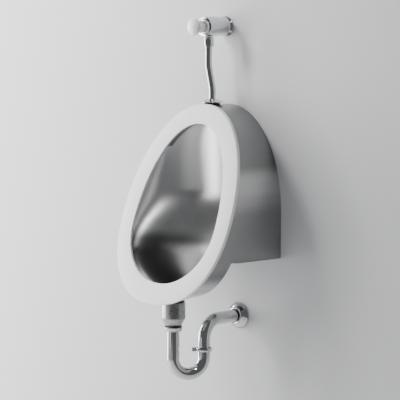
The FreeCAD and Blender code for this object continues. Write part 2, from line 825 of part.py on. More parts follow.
def wall_ring():
    bore = nipple_valve_radius + 0.2
    return turned([
        (bore, -0.1), (wall_ring_radius, -0.1), (wall_ring_radius, -2.5),
        ((wall_ring_radius - 1.6, -7), (barrel_wall_radius - 1, -barrel_back + 0.1)),
        (bore, -barrel_back + 0.1),
    ], valve, TO_WALL)


def bonnet():
    """Ring nut that closes the barrel and guides the stem and the button's sleeve."""
    inner_end = -barrel_front + thread_length
    floor = inner_end - bonnet_floor
    bore = sleeve_end_radius + sleeve_gap
    groove = -0.5 * (barrel_front - thread_length + barrel_front - thread_length + bonnet_floor)
    half = ring_section + 0.05
    return turned([
        (bore, -bonnet_front), (bonnet_radius - 1.5, -bonnet_front),
        ((bonnet_radius - 0.3, -bonnet_front + 0.6), (bonnet_radius, -bonnet_front + 2)),
        (bonnet_radius, -barrel_front), (thread_radius - thread_gap, -barrel_front),
        (thread_radius - thread_gap, inner_end), (stem_radius + stem_gap, inner_end),
        (stem_radius + stem_gap, groove + half), (stem_radius + 2 * ring_section + 0.1, groove + half),
        (stem_radius + 2 * ring_section + 0.1, groove - half), (stem_radius + stem_gap, groove - half),
        (stem_radius + stem_gap, floor), (bore, floor),
    ], valve, TO_WALL)


def stem_seal():
    groove = -(barrel_front - thread_length + bonnet_floor / 2)
    ring = Part.makeTorus(stem_radius + stem_gap + ring_section, ring_section - 0.02, MIDDLE, TO_WALL)
    ring.translate(valve + TO_WALL * groove)
    return ring


def bonnet_seal():
    ring = pipe(thread_radius - 0.5, chamber_radius - 1.5, 1.2,
                valve - TO_WALL * (barrel_front - thread_length), TO_WALL)
    return ring.common(rod(chamber_radius - 0.1, 10, valve - TO_WALL * barrel_front * 0.9, TO_WALL))


def push_button():
    """Domed cap that the hand presses."""
    back = -button_back
    cap = turned([
        (0, back), (button_radius, back), (button_radius, back - button_edge),
        dome(button_radius, back - button_edge, -button_dome),
    ], valve, TO_WALL)
    rims = [e for e in cap.Edges if e.Length > 6 * button_radius]
    front = min(rims, key=lambda e: e.CenterOfMass.y)
    cap = cap.makeFillet(button_round, [front])
    rims = [e for e in cap.Edges if abs(e.CenterOfMass.y - back) < 0.01 and e.Length > 6 * button_radius]
    return cap.makeFillet(0.8, rims)


def button_sleeve():
    """Sleeve under the cap that slides into the bonnet."""
    back = -button_back
    wall = sleeve_wall
    inside = sleeve_end_radius - wall
    return turned([
        (inside, back + wall), (inside, -sleeve_end), (sleeve_end_radius, -sleeve_end),
        (sleeve_end_radius, -bonnet_front - press_travel - 2),
        ((0.5 * (sleeve_end_radius + sleeve_mouth_radius) - 0.6, 0.5 * (back - bonnet_front - press_travel)),
         (sleeve_mouth_radius, back)),
        (stem_radius + 0.1, back), (stem_radius + 0.1, back + wall),
    ], valve, TO_WALL)


def valve_stem():
    front = button_back - 0.02
    return rod(stem_radius, front - stem_end, valve - TO_WALL * front, TO_WALL)


def piston_washer():
    start = seat_front - seat_thickness - 0.02
    return pipe(piston_radius - 1, stem_radius + 0.05, washer_thickness, valve - TO_WALL * start, TO_WALL)


def piston():
    start = -seat_front + seat_thickness + 0.02 + washer_thickness + 0.02
    end = start + piston_thickness
    return turned([
        (stem_radius + 0.05, start), (piston_radius, start), (piston_radius, end - 0.8),
        (piston_radius - 0.8, end), (stem_radius + 0.05, end),
    ], valve, TO_WALL)


def piston_nut():
    start = -seat_front + seat_thickness + 0.06 + washer_thickness + piston_thickness
    radius = stem_nut_across / math.sqrt(3)
    corners = [Vector(radius * math.cos(math.radians(60 * i)), start, radius * math.sin(math.radians(60 * i)))
               for i in range(7)]
    nut = Part.Face(Part.makePolygon(corners)).extrude(TO_WALL * stem_nut_height)
    nut.translate(valve)
    return nut.cut(rod(stem_radius + 0.05, 60, valve - TO_WALL * 60, TO_WALL))


def return_spring():
    """Coil between the bonnet's floor and the inside of the button's sleeve.

    Each half turn lies in its own tilted plane, so it meets the next one smoothly."""
    start = button_back - sleeve_wall - spring_wire - spring_end_gap
    end = barrel_front - thread_length + bonnet_floor + spring_wire + spring_end_gap
    halves = 2 * spring_turns
    rise = (start - end) / halves
    turns = []
    for i in range(halves):
        side = 1 if i % 2 == 0 else -1
        low = Vector(side * spring_radius, 0, rise * i)
        high = Vector(-side * spring_radius, 0, rise * (i + 1))
        section = Part.Face(Part.Wire([Part.makeCircle(spring_wire, low, TO_WALL)]))
        turns.append(section.revolve((low + high) * 0.5, (high - low).cross(TO_WALL) * side, 180))
    coil = turns[0].multiFuse(turns[1:]).Solids[0]
    coil.rotate(MIDDLE, Vector(1, 0, 0), -90)
    coil.translate(valve - TO_WALL * start)
    return coil


def union_nut():
    top = -union_top_drop
    bottom = -union_bottom_drop
    shelf = -outlet_neck_drop - union_seal - tube_collar - 0.1
    return turned([
        (outlet_neck_radius + 0.15, top), (union_radius - 1, top), (union_radius, top - 1),
        (union_radius, bottom + 2), ((union_radius - 0.6, bottom + 0.6), (union_radius - 2, bottom)),
        (tube_radius + 0.2, bottom), (tube_radius + 0.2, shelf), (outlet_neck_radius + 0.15, shelf),
    ], valve_outlet, UP)


def union_washer():
    return pipe(outlet_neck_radius - 0.1, outlet_bore, union_seal,
                valve_outlet - UP * (outlet_neck_drop + union_seal), UP)


# ---------------------------------------------------------------- waste
def waste_body():
    """Flanged, threaded tail in the bowl's floor, with a cross bar for the strainer's screw."""
    flange_under = bowl_floor + bowl_seal_thickness
    flange_top = flange_under + waste_flange_thickness
    bottom = cup_top() - waste_into_cup
    seat = flange_top - strainer_thickness - 0.3
    body = turned([
        (waste_bore, bottom), (waste_radius, bottom), (waste_radius, flange_under), (waste_flange, flange_under),
        ((waste_flange - 0.6, flange_top - 0.6), (waste_flange - 2.5, flange_top)),
        (waste_bore + 2, flange_top), (waste_bore + 2, seat), (waste_bore, seat),
    ], drain, UP)
    bar = block(-waste_bore - 1, waste_bore + 1, -3, 3, seat - 8, seat - 2)
    bar.translate(drain)
    hole = rod(strainer_screw_shank, 20, drain + UP * (seat - 12), UP)
    return body.fuse(bar).cut(hole)


def cup_top():
    return chin_bottom - belt_seal_height


def bowl_seal():
    return pipe(waste_flange - 0.5, waste_radius + 0.1, bowl_seal_thickness, drain + UP * bowl_floor, UP)


def waste_washer():
    return pipe(waste_nut_across / 2, waste_radius + 0.1, 1.5, drain + UP * (bowl_floor - bowl_sheet - 1.5), UP)


def waste_locknut():
    bottom = drain + UP * (bowl_floor - bowl_sheet - 1.5 - waste_nut_height)
    return hexagon(waste_nut_across, waste_nut_height, bottom, waste_radius + 0.1)


def strainer():
    """Domed, drilled disc in the waste's recess."""
    top = bowl_floor + bowl_seal_thickness + waste_flange_thickness
    base = top - strainer_thickness - 0.2
    radius = waste_bore + 2 - strainer_gap
    disc = turned([
        (0, base), (radius, base), (radius, base + strainer_thickness),
        dome(radius, base + strainer_thickness, strainer_dome),
    ], drain, UP)
    for count, ring in zip(strainer_ring_counts, strainer_ring_radii):
        for i in range(count):
            turn = 2 * math.pi * (i + 0.5) / count
            at = drain + Vector(ring * math.cos(turn), ring * math.sin(turn), base - 1)
            disc = disc.cut(rod(strainer_hole, 8, at, UP))
    return disc.cut(rod(strainer_screw_shank + 0.2, 12, drain + UP * (base - 2), UP))


def strainer_screw():
    top = bowl_floor + bowl_seal_thickness + waste_flange_thickness - 0.2 + strainer_dome + 0.02
    shank = strainer_screw_shank - 0.05
    return turned([
        (0, top - 12), (shank, top - 12), (shank, top), (strainer_screw_head, top),
        dome(strainer_screw_head, top, 2.2),
    ], drain, UP)


def belt_seal(outer_chin):
    """Black ring between the chin and the drain cup, shaped to the chin's underside."""
    ring = pipe(belt_seal_radius, waste_radius + 0.1, belt_seal_height + 8, drain + UP * cup_top(), UP)
    shadow = outer_chin.copy()
    shadow.translate(UP * 0.02)
    return ring.cut(outer_chin).cut(shadow)


def drain_cup():
    """Brushed cup under the chin, narrowing to the trap's neck."""
    top = cup_top()
    shoulder = top - cup_straight
    waist = shoulder - cup_taper
    neck_end = waist - cup_neck_length
    bore = trap_radius + trap_gap
    return turned([
        (waste_radius + 0.15, top), (cup_radius - 1, top), (cup_radius, top - 1), (cup_radius, shoulder + 3),
        ((cup_radius - 0.9, shoulder - 1), (cup_radius - 3, shoulder - 4)), (cup_neck_radius + 1, waist),
        (cup_neck_radius, waist), (cup_neck_radius, neck_end), (bore, neck_end), (bore, waist + 2),
        (cup_radius - 5 - cup_wall, shoulder - 2), (waste_radius + 0.15, shoulder + 4),
    ], drain, UP)


def cup_waist():
    return cup_top() - cup_straight - cup_taper


def neck_ring():
    """Black ring between the cup and the trap's nut."""
    return pipe(cup_neck_radius + 2.5, cup_neck_radius + 0.1, neck_ring_height,
                drain + UP * (cup_waist() - neck_ring_height), UP)


def trap_nut():
    top = cup_waist() - neck_ring_height
    bottom = top - trap_nut_height
    shelf = bottom + trap_nut_floor
    return turned([
        (cup_neck_radius + 0.15, top), (trap_nut_radius - 1.5, top),
        ((trap_nut_radius, top - 1.6), (trap_nut_radius - 0.6, top - 4)),
        (trap_nut_radius - 2.5, bottom + 4), ((trap_nut_radius - 2.9, bottom + 1), (trap_nut_radius - 4.5, bottom)),
        (trap_radius + trap_gap, bottom), (trap_radius + trap_gap, shelf), (cup_neck_radius + 0.15, shelf),
    ], drain, UP)


def slip_seal():
    """Rubber ring squeezed round the trap's tube by the nut."""
    neck_end = cup_waist() - cup_neck_length
    shelf = cup_waist() - neck_ring_height - trap_nut_height + trap_nut_floor
    return pipe(cup_neck_radius - 0.1, trap_radius + 0.05, neck_end - shelf, drain + UP * shelf, UP)


# ---------------------------------------------------------------- trap
def swing():
    """Direction from the drain to the trap's upright outlet leg, seen from above."""
    return Vector(math.sin(trap_turn), math.cos(trap_turn), 0)


def outlet_leg():
    return drain + swing() * (2 * trap_bend)


def trap_u():
    """J-shaped tube from the drain cup round to the joint."""
    top = drain + UP * (cup_waist() - cup_neck_length + trap_into_cup)
    low = drain - UP * trap_low
    low_far = outlet_leg() - UP * trap_low
    end = outlet_leg() - UP * (trap_joint_drop + 0.2)
    return tube_run([top, low, low_far, end], trap_bend - 0.0005, trap_radius, trap_radius - trap_wall)


def outlet_elbow():
    """Tube from the joint up and back into the wall, with a shallow groove at the wall plane."""
    start = outlet_leg() - UP * (trap_joint_drop - 0.2)
    corner = outlet_leg() - UP * trap_outlet_drop
    end = Vector(corner.x, outlet_into_wall, corner.z)
    tube = tube_run([start, corner, end], outlet_bend_radius, trap_radius, trap_radius - trap_wall)
    return tube.cut(pipe(trap_radius + 1, trap_radius - outlet_groove_depth, outlet_groove_width,
                         outlet_centre() - TO_WALL * outlet_groove_width, TO_WALL))


def joint_seal():
    bottom = outlet_leg() - UP * (trap_joint_drop + joint_seal_height / 2)
    return pipe(trap_radius + joint_seal_wall, trap_radius + 0.05, joint_seal_height, bottom, UP)


def clamp_centre():
    return outlet_leg() - UP * trap_joint_drop


def clamp_ring():
    """Split band round the joint, with two ears that a screw pulls together."""
    inner = trap_radius + joint_seal_wall + 0.05
    outer = inner + clamp_wall
    half = clamp_height / 2
    band = turned([
        (inner, -half), (outer, -half), ((outer + 1.2, 0), (outer, half)), (inner, half),
    ], MIDDLE, UP)
    ear_outer = clamp_split / 2 + clamp_ear_thickness
    ears = block(-ear_outer, ear_outer, -outer - clamp_ear, -inner - 0.5, -half, half)
    band = band.fuse(ears).cut(block(-clamp_split / 2, clamp_split / 2, -outer - 2 * clamp_ear, 0, -half, half))
    screw_y = -outer - clamp_ear / 2
    band = band.cut(rod(2.1, 4 * ear_outer, Vector(-2 * ear_outer, screw_y, 0), Vector(1, 0, 0)))
    return place_clamp(band)


def place_clamp(shape):
    """The ears point to the front left."""
    shape.rotate(MIDDLE, UP, -38)
    shape.translate(clamp_centre())
    return shape


def clamp_screw():
    outer = trap_radius + joint_seal_wall + 0.05 + clamp_wall
    ear_outer = clamp_split / 2 + clamp_ear_thickness
    axis = Vector(1, 0, 0)
    at = Vector(-ear_outer - 3, -outer - clamp_ear / 2, 0)
    shank = rod(2.0, 2 * ear_outer + 8, at, axis)
    head = rod(3.8, 3, at, axis)
    nut = rod(3.8, 3, at + axis * (2 * ear_outer + 3.02), axis)
    return place_clamp(shank.fuse(head).fuse(nut).removeSplitter())


def outlet_centre():
    corner = outlet_leg()
    return Vector(corner.x, 0, -trap_outlet_drop)


def wall_flange():
    """Domed rosette with a hub, where the outlet enters the wall."""
    radius = wall_flange_radius
    hub = wall_flange_hub
    bore = trap_radius + trap_gap
    sheet = wall_flange_sheet
    deep = -wall_flange_depth
    return turned([
        (radius, -0.02), (radius, -2), ((radius - 4, deep * 0.72), (hub + 2, deep)),
        (hub, -wall_flange_hub_depth + 1.5), (hub - 1, -wall_flange_hub_depth), (bore + 1.6, -wall_flange_hub_depth),
        (bore + 1.6, -wall_flange_hub_depth + 4), (bore, -wall_flange_hub_depth + 4),
        (bore, -wall_flange_hub_depth + 5.5), (hub - sheet, -wall_flange_hub_depth + 5.5),
        (hub - sheet, deep + 2 * sheet), ((radius - 5.5, deep * 0.66), (radius - sheet, -2)),
        (radius - sheet, -0.02),
    ], outlet_centre(), TO_WALL)


def flange_seal():
    """Black ring in the hub, round the outlet tube."""
    start = outlet_centre() - TO_WALL * (wall_flange_hub_depth + 1.0)
    return pipe(trap_radius + trap_gap + 1.5, trap_radius + 0.05, 4.9, start, TO_WALL)


# ---------------------------------------------------------------- writing the sub-parts
def build():
    outer = casing_block(casing_inset)
    inner = casing_block(casing_inset + casing_sheet, 5.0)
    outer_chin = chin_block(casing_inset, 0.0)
    save("front_rim", front_rim())
    save("casing_shell", casing_shell(outer, inner))
    save("chin_shell", chin_shell(outer_chin))
    save("bottom_panel", bottom_panel(outer))
    save("panel_screws", panel_screws())
    save("back_frame", back_frame())
    save("hanger_bar", hanger_bar())
    save("wall_bracket", wall_bracket())
    save("bowl", bowl())
    save("flush_channel", flush_channel())
    save("feed_elbow", feed_elbow())
    save("inlet_spud", inlet_spud())
    save("spud_washer", spud_washer(inner))
    save("spud_locknut", spud_locknut())
    save("inlet_gasket", inlet_gasket(outer))
    save("inlet_rosette", inlet_rosette())
    save("spud_seal", spud_seal())
    save("flush_tube", flush_tube())
    save("valve_body", valve_body())
    save("seat_ring", seat_ring())
    save("inlet_nipple", inlet_nipple())
    save("valve_wall_ring", wall_ring())
    save("valve_bonnet", bonnet())
    save("stem_seal", stem_seal())
    save("bonnet_seal", bonnet_seal())
    save("push_button", push_button())
    save("button_sleeve", button_sleeve())
    save("valve_stem", valve_stem())
    save("piston_washer", piston_washer())
    save("piston", piston())
    save("piston_nut", piston_nut())
    save("return_spring", return_spring())
    save("union_nut", union_nut())
    save("union_washer", union_washer())
    save("waste_body", waste_body())
    save("bowl_seal", bowl_seal())
    save("waste_washer", waste_washer())
    save("waste_locknut", waste_locknut())
    save("strainer", strainer())
    save("strainer_screw", strainer_screw())
    save("belt_seal", belt_seal(outer_chin))
    save("drain_cup", drain_cup())
    save("neck_ring", neck_ring())
    save("trap_nut", trap_nut())
    save("slip_seal", slip_seal())
    save("trap_u_bend", trap_u())
    save("outlet_elbow", outlet_elbow())
    save("joint_seal", joint_seal())
    save("clamp_ring", clamp_ring())
    save("clamp_screw", clamp_screw())
    save("wall_flange", wall_flange())
    save("flange_seal", flange_seal())


build()
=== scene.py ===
"""The looks of a wall hung urinal in brushed stainless steel, with its push valve, flush tube and trap."""

import json
import math

import bmesh
import bpy
from mathutils import Matrix, Quaternion, Vector


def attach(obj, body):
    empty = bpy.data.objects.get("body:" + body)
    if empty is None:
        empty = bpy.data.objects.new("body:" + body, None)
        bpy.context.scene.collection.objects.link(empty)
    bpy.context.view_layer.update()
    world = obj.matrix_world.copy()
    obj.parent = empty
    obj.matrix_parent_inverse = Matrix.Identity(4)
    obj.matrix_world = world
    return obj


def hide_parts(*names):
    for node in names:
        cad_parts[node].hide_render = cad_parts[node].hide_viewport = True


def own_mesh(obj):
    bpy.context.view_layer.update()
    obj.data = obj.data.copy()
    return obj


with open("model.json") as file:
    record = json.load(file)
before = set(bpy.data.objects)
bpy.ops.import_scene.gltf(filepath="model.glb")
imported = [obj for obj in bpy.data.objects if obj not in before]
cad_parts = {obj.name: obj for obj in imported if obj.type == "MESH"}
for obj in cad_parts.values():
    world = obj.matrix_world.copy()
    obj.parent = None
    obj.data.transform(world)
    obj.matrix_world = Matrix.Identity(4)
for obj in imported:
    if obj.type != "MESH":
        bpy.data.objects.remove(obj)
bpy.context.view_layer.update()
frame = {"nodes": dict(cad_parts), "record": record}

# ---------------------------------------------------------------- sizes, in metres
MM = 0.001
ROOT = "urinal"
BUTTON = "button"

rim_half_width = 180.0 * MM
rim_rise = 294.0 * MM
rim_drop = 229.0 * MM
rim_top_power = 2.05
rim_bottom_power = 2.28
rim_lean = math.radians(20.9)
rim_reach = 199.0 * MM
rim_height = -35.0 * MM
rim_sheet = 1.5 * MM
rim_return = 9.0 * MM
rim_round = 2.4 * MM
opening_half_width = 137.0 * MM
opening_rise = 265.0 * MM
opening_drop = 152.0 * MM
opening_sink = 23.0 * MM
opening_power = 2.06
opening_return = 5.0 * MM
opening_round = 1.2 * MM
rim_plate_depth = rim_sheet / math.cos(rim_lean)

sheet = 1.2 * MM
casing_inset = rim_sheet + 0.7 * MM
casing_half_width_at_wall = 175.0 * MM
casing_bottom_drop = 107.0 * MM
casing_flange = 15.0 * MM
casing_corner = 2.0 * MM
casing_top = rim_height + (rim_rise - casing_inset) * math.cos(rim_lean)
chin_reach = 158.0 * MM
chin_back_lean = math.radians(6.8)
chin_taper = 5.0 * MM
chin_round = 8.0 * MM
chin_bottom = rim_height - (rim_drop - casing_inset) * math.cos(rim_lean)

bowl_margin = 16.0 * MM
bowl_floor_drop = 196.0 * MM
bowl_top_rise = 243.0 * MM
bowl_reach = 66.0 * MM
bowl_to_chin = 6.0 * MM
bowl_slope_rise = 165.0 * MM
bowl_top_lean = 45.0 * MM
bowl_front_gap = 14.0 * MM
bowl_swell = 33.0 * MM
bowl_swell_start = 85.0 * MM
bowl_lower_drop = 198.0 * MM
bowl_lower_power = 2.3
bowl_lower_margin = 18.0 * MM
drain = Vector((0, -205.0 * MM, 0))
drain_hole = 24.6 * MM
waste_flange = 28.0 * MM
drain_margin = 3.5 * MM

inlet_reach = 65.0 * MM
inlet = Vector((0, -inlet_reach, 0))
gasket_height = 5.0 * MM
rosette_radius = 29.0 * MM
rosette_height = 9.0 * MM
tube_radius = 9.0 * MM
tube_bend = 60.0 * MM
valve = Vector((-13.5 * MM, 0, 433.0 * MM))
valve_outlet = Vector((valve.x, -inlet_reach, valve.z))
button_back = -118 * MM
barrel_front = -82 * MM
barrel_back = -12 * MM
stem_bore = 3.1 * MM

trap_radius = 16.0 * MM
trap_bend = 41.0 * MM
trap_turn = math.radians(27.0)
trap_low = 434.0 * MM
trap_outlet_drop = 301.0 * MM
trap_joint_drop = 373.5 * MM
outlet_bend_radius = 48.0 * MM
outlet_into_wall = 30.0 * MM
tube_wall = 1.0 * MM
slip_bore = trap_radius + 0.2 * MM
leg = drain + Vector((math.sin(trap_turn), math.cos(trap_turn), 0)) * 2 * trap_bend

cup_top = chin_bottom - 3.5 * MM
cup_shoulder = cup_top - 40 * MM
cup_waist = cup_shoulder - 19 * MM
nut_top = cup_waist - 3 * MM
nut_bottom = nut_top - 11 * MM

joint_half_gap = 0.2 * MM
weld_gap = 0.1 * MM
wall_gap = 0.1 * MM
merge_gap = 0.001 * MM

UP = Vector((0, 0, 1))
TO_WALL = Vector((0, 1, 0))


# ---------------------------------------------------------------- camera and studio
def photo_camera():
    """The camera at the photograph's viewing angle."""
    azimuth, elevation, roll = (math.radians(d) for d in (42.0, 5.5795, 0.3695))
    back = Vector((math.sin(azimuth) * math.cos(elevation), -math.cos(azimuth) * math.cos(elevation),
                   math.sin(elevation)))
    data = bpy.data.cameras.new("photo_camera")
    data.sensor_width = 36.0
    data.lens = 193.94
    data.clip_start, data.clip_end = 0.1, 50.0
    camera = bpy.data.objects.new("photo_camera", data)
    bpy.context.scene.collection.objects.link(camera)
    camera.location = (3.61025, -4.11809, 0.52581)
    camera.rotation_mode = "QUATERNION"
    camera.rotation_quaternion = (-back).to_track_quat("-Z", "Y") @ Quaternion((0, 0, 1), roll)
    bpy.context.scene.camera = camera


def softbox(name, place, aim, width, height, watts, in_gloss=True, on_matt=True):
    """A lamp panel. in_gloss shows it in reflections, and on_matt lets it light matt surfaces."""
    data = bpy.data.lights.new(name, "AREA")
    data.shape = "RECTANGLE"
    data.size, data.size_y = width, height
    data.energy = watts
    lamp = bpy.data.objects.new(name, data)
    bpy.context.scene.collection.objects.link(lamp)
    lamp.location = place
    lamp.rotation_mode = "QUATERNION"
    lamp.rotation_quaternion = (Vector(aim) - Vector(place)).to_track_quat("-Z", "Y")
    lamp.visible_camera = False
    lamp.visible_glossy = in_gloss
    lamp.visible_diffuse = on_matt


def studio_lights():
    """Tall lamps on the left for the steel's reflections, with others high, low and behind."""
    aim = (0, -0.15, 0.0)
    softbox("window_left", (-1.9, -0.75, 0.0), aim, 0.5, 1.8, 50)
    softbox("strip_front_left", (-1.42, -1.48, 0.15), aim, 0.27, 1.5, 11)
    softbox("strip_low_left", (-1.6, -1.6, -0.2), aim, 0.3, 0.9, 7)
    softbox("high_left", (-1.9, -1.2, 1.4), aim, 1.2, 1.2, 40, in_gloss=False)
    softbox("near_left", (-0.8, -1.2, 1.3), (0, -0.1, 0.2), 0.5, 0.5, 26, in_gloss=False)
    softbox("low_front", (-0.6, -2.2, -0.5), aim, 1.2, 0.5, 2)
    softbox("high_right", (1.3, -1.5, 2.2), aim, 0.4, 0.4, 26, on_matt=False)
    softbox("behind_soft", (0.0, 2.6, 0.8), (0, 0, 0), 2.4, 2.0, 120)


def studio_world():
    """A dim room all round, with a pale backdrop for camera rays and transmission rays."""
    room_colour, room_strength = (0.95, 0.97, 1.0), 0.155
    backdrop_colour = (0.86, 0.87, 0.88)
    world = bpy.data.worlds.new("pale_room")
    bpy.context.scene.world = world
    world.use_nodes = True
    tree = world.node_tree
    tree.nodes.clear()
    add, link = tree.nodes.new, tree.links.new
    path = add("ShaderNodeLightPath")
    seen = add("ShaderNodeMath")
    seen.operation = "MAXIMUM"
    link(path.outputs["Is Camera Ray"], seen.inputs[0])
    link(path.outputs["Is Transmission Ray"], seen.inputs[1])
    dim = add("ShaderNodeBackground")
    dim.inputs["Color"].default_value = (*room_colour, 1)
    dim.inputs["Strength"].default_value = room_strength
    backdrop = add("ShaderNodeBackground")
    backdrop.inputs["Color"].default_value = (*backdrop_colour, 1)
    mix = add("ShaderNodeMixShader")
    out = add("ShaderNodeOutputWorld")
    link(seen.outputs[0], mix.inputs[0])
    link(dim.outputs[0], mix.inputs[1])
    link(backdrop.outputs[0], mix.inputs[2])
    link(mix.outputs[0], out.inputs["Surface"])


def stage_piece(bm, name, material):
    mesh = bpy.data.meshes.new(name)
    bm.to_mesh(mesh)
    bm.free()
    mesh.materials.append(material)
    obj = bpy.data.objects.new(name, mesh)
    bpy.context.scene.collection.objects.link(obj)


def stage_material(name, colour):
    """Pale matt paint with faint unevenness, clear from behind so that it never hides the urinal."""
    made = bpy.data.materials.new(name)
    made.use_nodes = True
    tree = made.node_tree
    add, link = tree.nodes.new, tree.links.new
    paint = tree.nodes["Principled BSDF"]
    paint.inputs["Base Color"].default_value = (*colour, 1)
    paint.inputs["Roughness"].default_value = 0.9
    paint.inputs["Specular IOR Level"].default_value = 0.1
    place = add("ShaderNodeTexCoord")
    uneven = add("ShaderNodeTexNoise")
    uneven.inputs["Scale"].default_value = 26.0
    uneven.inputs["Detail"].default_value = 5.0
    relief = add("ShaderNodeBump")
    relief.inputs["Strength"].default_value = 0.35
    relief.inputs["Distance"].default_value = 0.0012
    link(place.outputs["Object"], uneven.inputs["Vector"])
    link(uneven.outputs["Fac"], relief.inputs["Height"])
    link(relief.outputs[0], paint.inputs["Normal"])
    side = add("ShaderNodeNewGeometry")
    clear = add("ShaderNodeBsdfTransparent")
    mix = add("ShaderNodeMixShader")
    link(side.outputs["Backfacing"], mix.inputs[0])
    link(paint.outputs[0], mix.inputs[1])
    link(clear.outputs[0], mix.inputs[2])
    link(mix.outputs[0], tree.nodes["Material Output"].inputs["Surface"])
    return made


def room():
    """A wall that is open behind the casing, so that light reaches the urinal's back, and a floor."""
    wide, high, low = 5.0, 3.5, -0.85
    floor_half = 1.4
    behind = 0.6 * MM
    inset = 8 * MM
    around, square = 96, 30.0
    bm = bmesh.new()
    ring = bmesh.ops.create_circle(bm, segments=around, radius=1.0)["verts"]
    half, rise = casing_half_width_at_wall - inset, casing_top - rim_height - inset
    bottom = casing_bottom_drop - inset
    for i, vert in enumerate(ring):
        turn = math.tau * i / around
        if turn <= math.pi:
            x, z = power_curve(half, rise, rim_top_power, turn)
        else:
            x, z = power_curve(half, bottom, square, turn)
            z = -z
        vert.co = Vector((x, behind, rim_height + z))
    edges = push(bm, edges_of(ring), Vector((0, 0, 0)))
    for vert in {v for e in edges for v in e.verts}:
        x, z = vert.co.x, vert.co.z - rim_height
        sideways = wide / max(abs(x), 1e-9)
        upright = (high if z > 0 else rim_height - low) / max(abs(z), 1e-9)
        reach = min(sideways, upright)
        vert.co = Vector((x * reach, behind, rim_height + z * reach))
    face_away(bm, TO_WALL)
    stage_piece(bm, "wall", stage_material("pale_wall", (0.66, 0.665, 0.675)))
    bm = bmesh.new()
    bmesh.ops.create_grid(bm, x_segments=1, y_segments=1, size=floor_half)
    bmesh.ops.translate(bm, verts=bm.verts, vec=(0, behind - floor_half, low))
    stage_piece(bm, "floor", stage_material("pale_floor", (0.80, 0.80, 0.80)))


# ---------------------------------------------------------------- finishes
def finish(name, colour, metallic, roughness, spread, grain, stretch, bump, drawn_about=None):
    """A procedural finish: streaks or mottling in roughness, tone and height, stretched per axis.

    With drawn_about, an upright axis (x, y), the streaks run up and down a bowl round that axis."""
    streak_share = 0.7
    darker, lighter = 0.93, 1.05
    made = bpy.data.materials.new(name)
    made.use_nodes = True
    tree = made.node_tree
    add, link = tree.nodes.new, tree.links.new
    shader = tree.nodes["Principled BSDF"]
    shader.inputs["Metallic"].default_value = metallic
    place = add("ShaderNodeTexCoord")
    mapping = add("ShaderNodeMapping")
    mapping.inputs["Scale"].default_value = stretch
    link(place.outputs["Object"], mapping.inputs["Vector"])
    if drawn_about:
        split = add("ShaderNodeSeparateXYZ")
        turn = add("ShaderNodeMath")
        joined = add("ShaderNodeCombineXYZ")
        turn.operation = "ARCTAN2"
        for axis, at in zip("XY", drawn_about):
            shift = add("ShaderNodeMath")
            shift.operation = "SUBTRACT"
            shift.inputs[1].default_value = at
            link(split.outputs[axis], shift.inputs[0])
            link(shift.outputs[0], turn.inputs["XY".index(axis)])
        link(place.outputs["Object"], split.inputs[0])
        link(turn.outputs[0], joined.inputs["X"])
        link(split.outputs["Z"], joined.inputs["Z"])
        link(joined.outputs[0], mapping.inputs["Vector"])
    streak = add("ShaderNodeTexNoise")
    streak.inputs["Scale"].default_value = grain
    streak.inputs["Detail"].default_value = 4.0
    streak.inputs["Roughness"].default_value = 0.6
    link(mapping.outputs[0], streak.inputs["Vector"])
    cloud = add("ShaderNodeTexNoise")
    cloud.inputs["Scale"].default_value = 9.0
    cloud.inputs["Detail"].default_value = 3.0
    link(place.outputs["Object"], cloud.inputs["Vector"])
    both = add("ShaderNodeMath")
    both.operation = "MULTIPLY_ADD"
    both.inputs[1].default_value = streak_share
    link(streak.outputs["Fac"], both.inputs[0])
    weak = add("ShaderNodeMath")
    weak.operation = "MULTIPLY"
    weak.inputs[1].default_value = 1 - streak_share
    link(cloud.outputs["Fac"], weak.inputs[0])
    link(weak.outputs[0], both.inputs[2])
    rough = add("ShaderNodeMapRange")
    rough.inputs["From Min"].default_value = 0.3
    rough.inputs["From Max"].default_value = 0.7
    rough.inputs["To Min"].default_value = max(roughness - spread, 0.02)
    rough.inputs["To Max"].default_value = roughness + spread
    link(both.outputs[0], rough.inputs["Value"])
    link(rough.outputs[0], shader.inputs["Roughness"])
    tone = add("ShaderNodeMix")
    tone.data_type = "RGBA"
    tone.inputs["A"].default_value = (*[c * darker for c in colour], 1)
    tone.inputs["B"].default_value = (*[min(c * lighter, 1) for c in colour], 1)
    link(both.outputs[0], tone.inputs["Factor"])
    link(tone.outputs["Result"], shader.inputs["Base Color"])
    if bump:
        height = add("ShaderNodeBump")
        height.inputs["Strength"].default_value = 0.5
        height.inputs["Distance"].default_value = bump
        link(streak.outputs["Fac"], height.inputs["Height"])
        link(height.outputs[0], shader.inputs["Normal"])
    return made


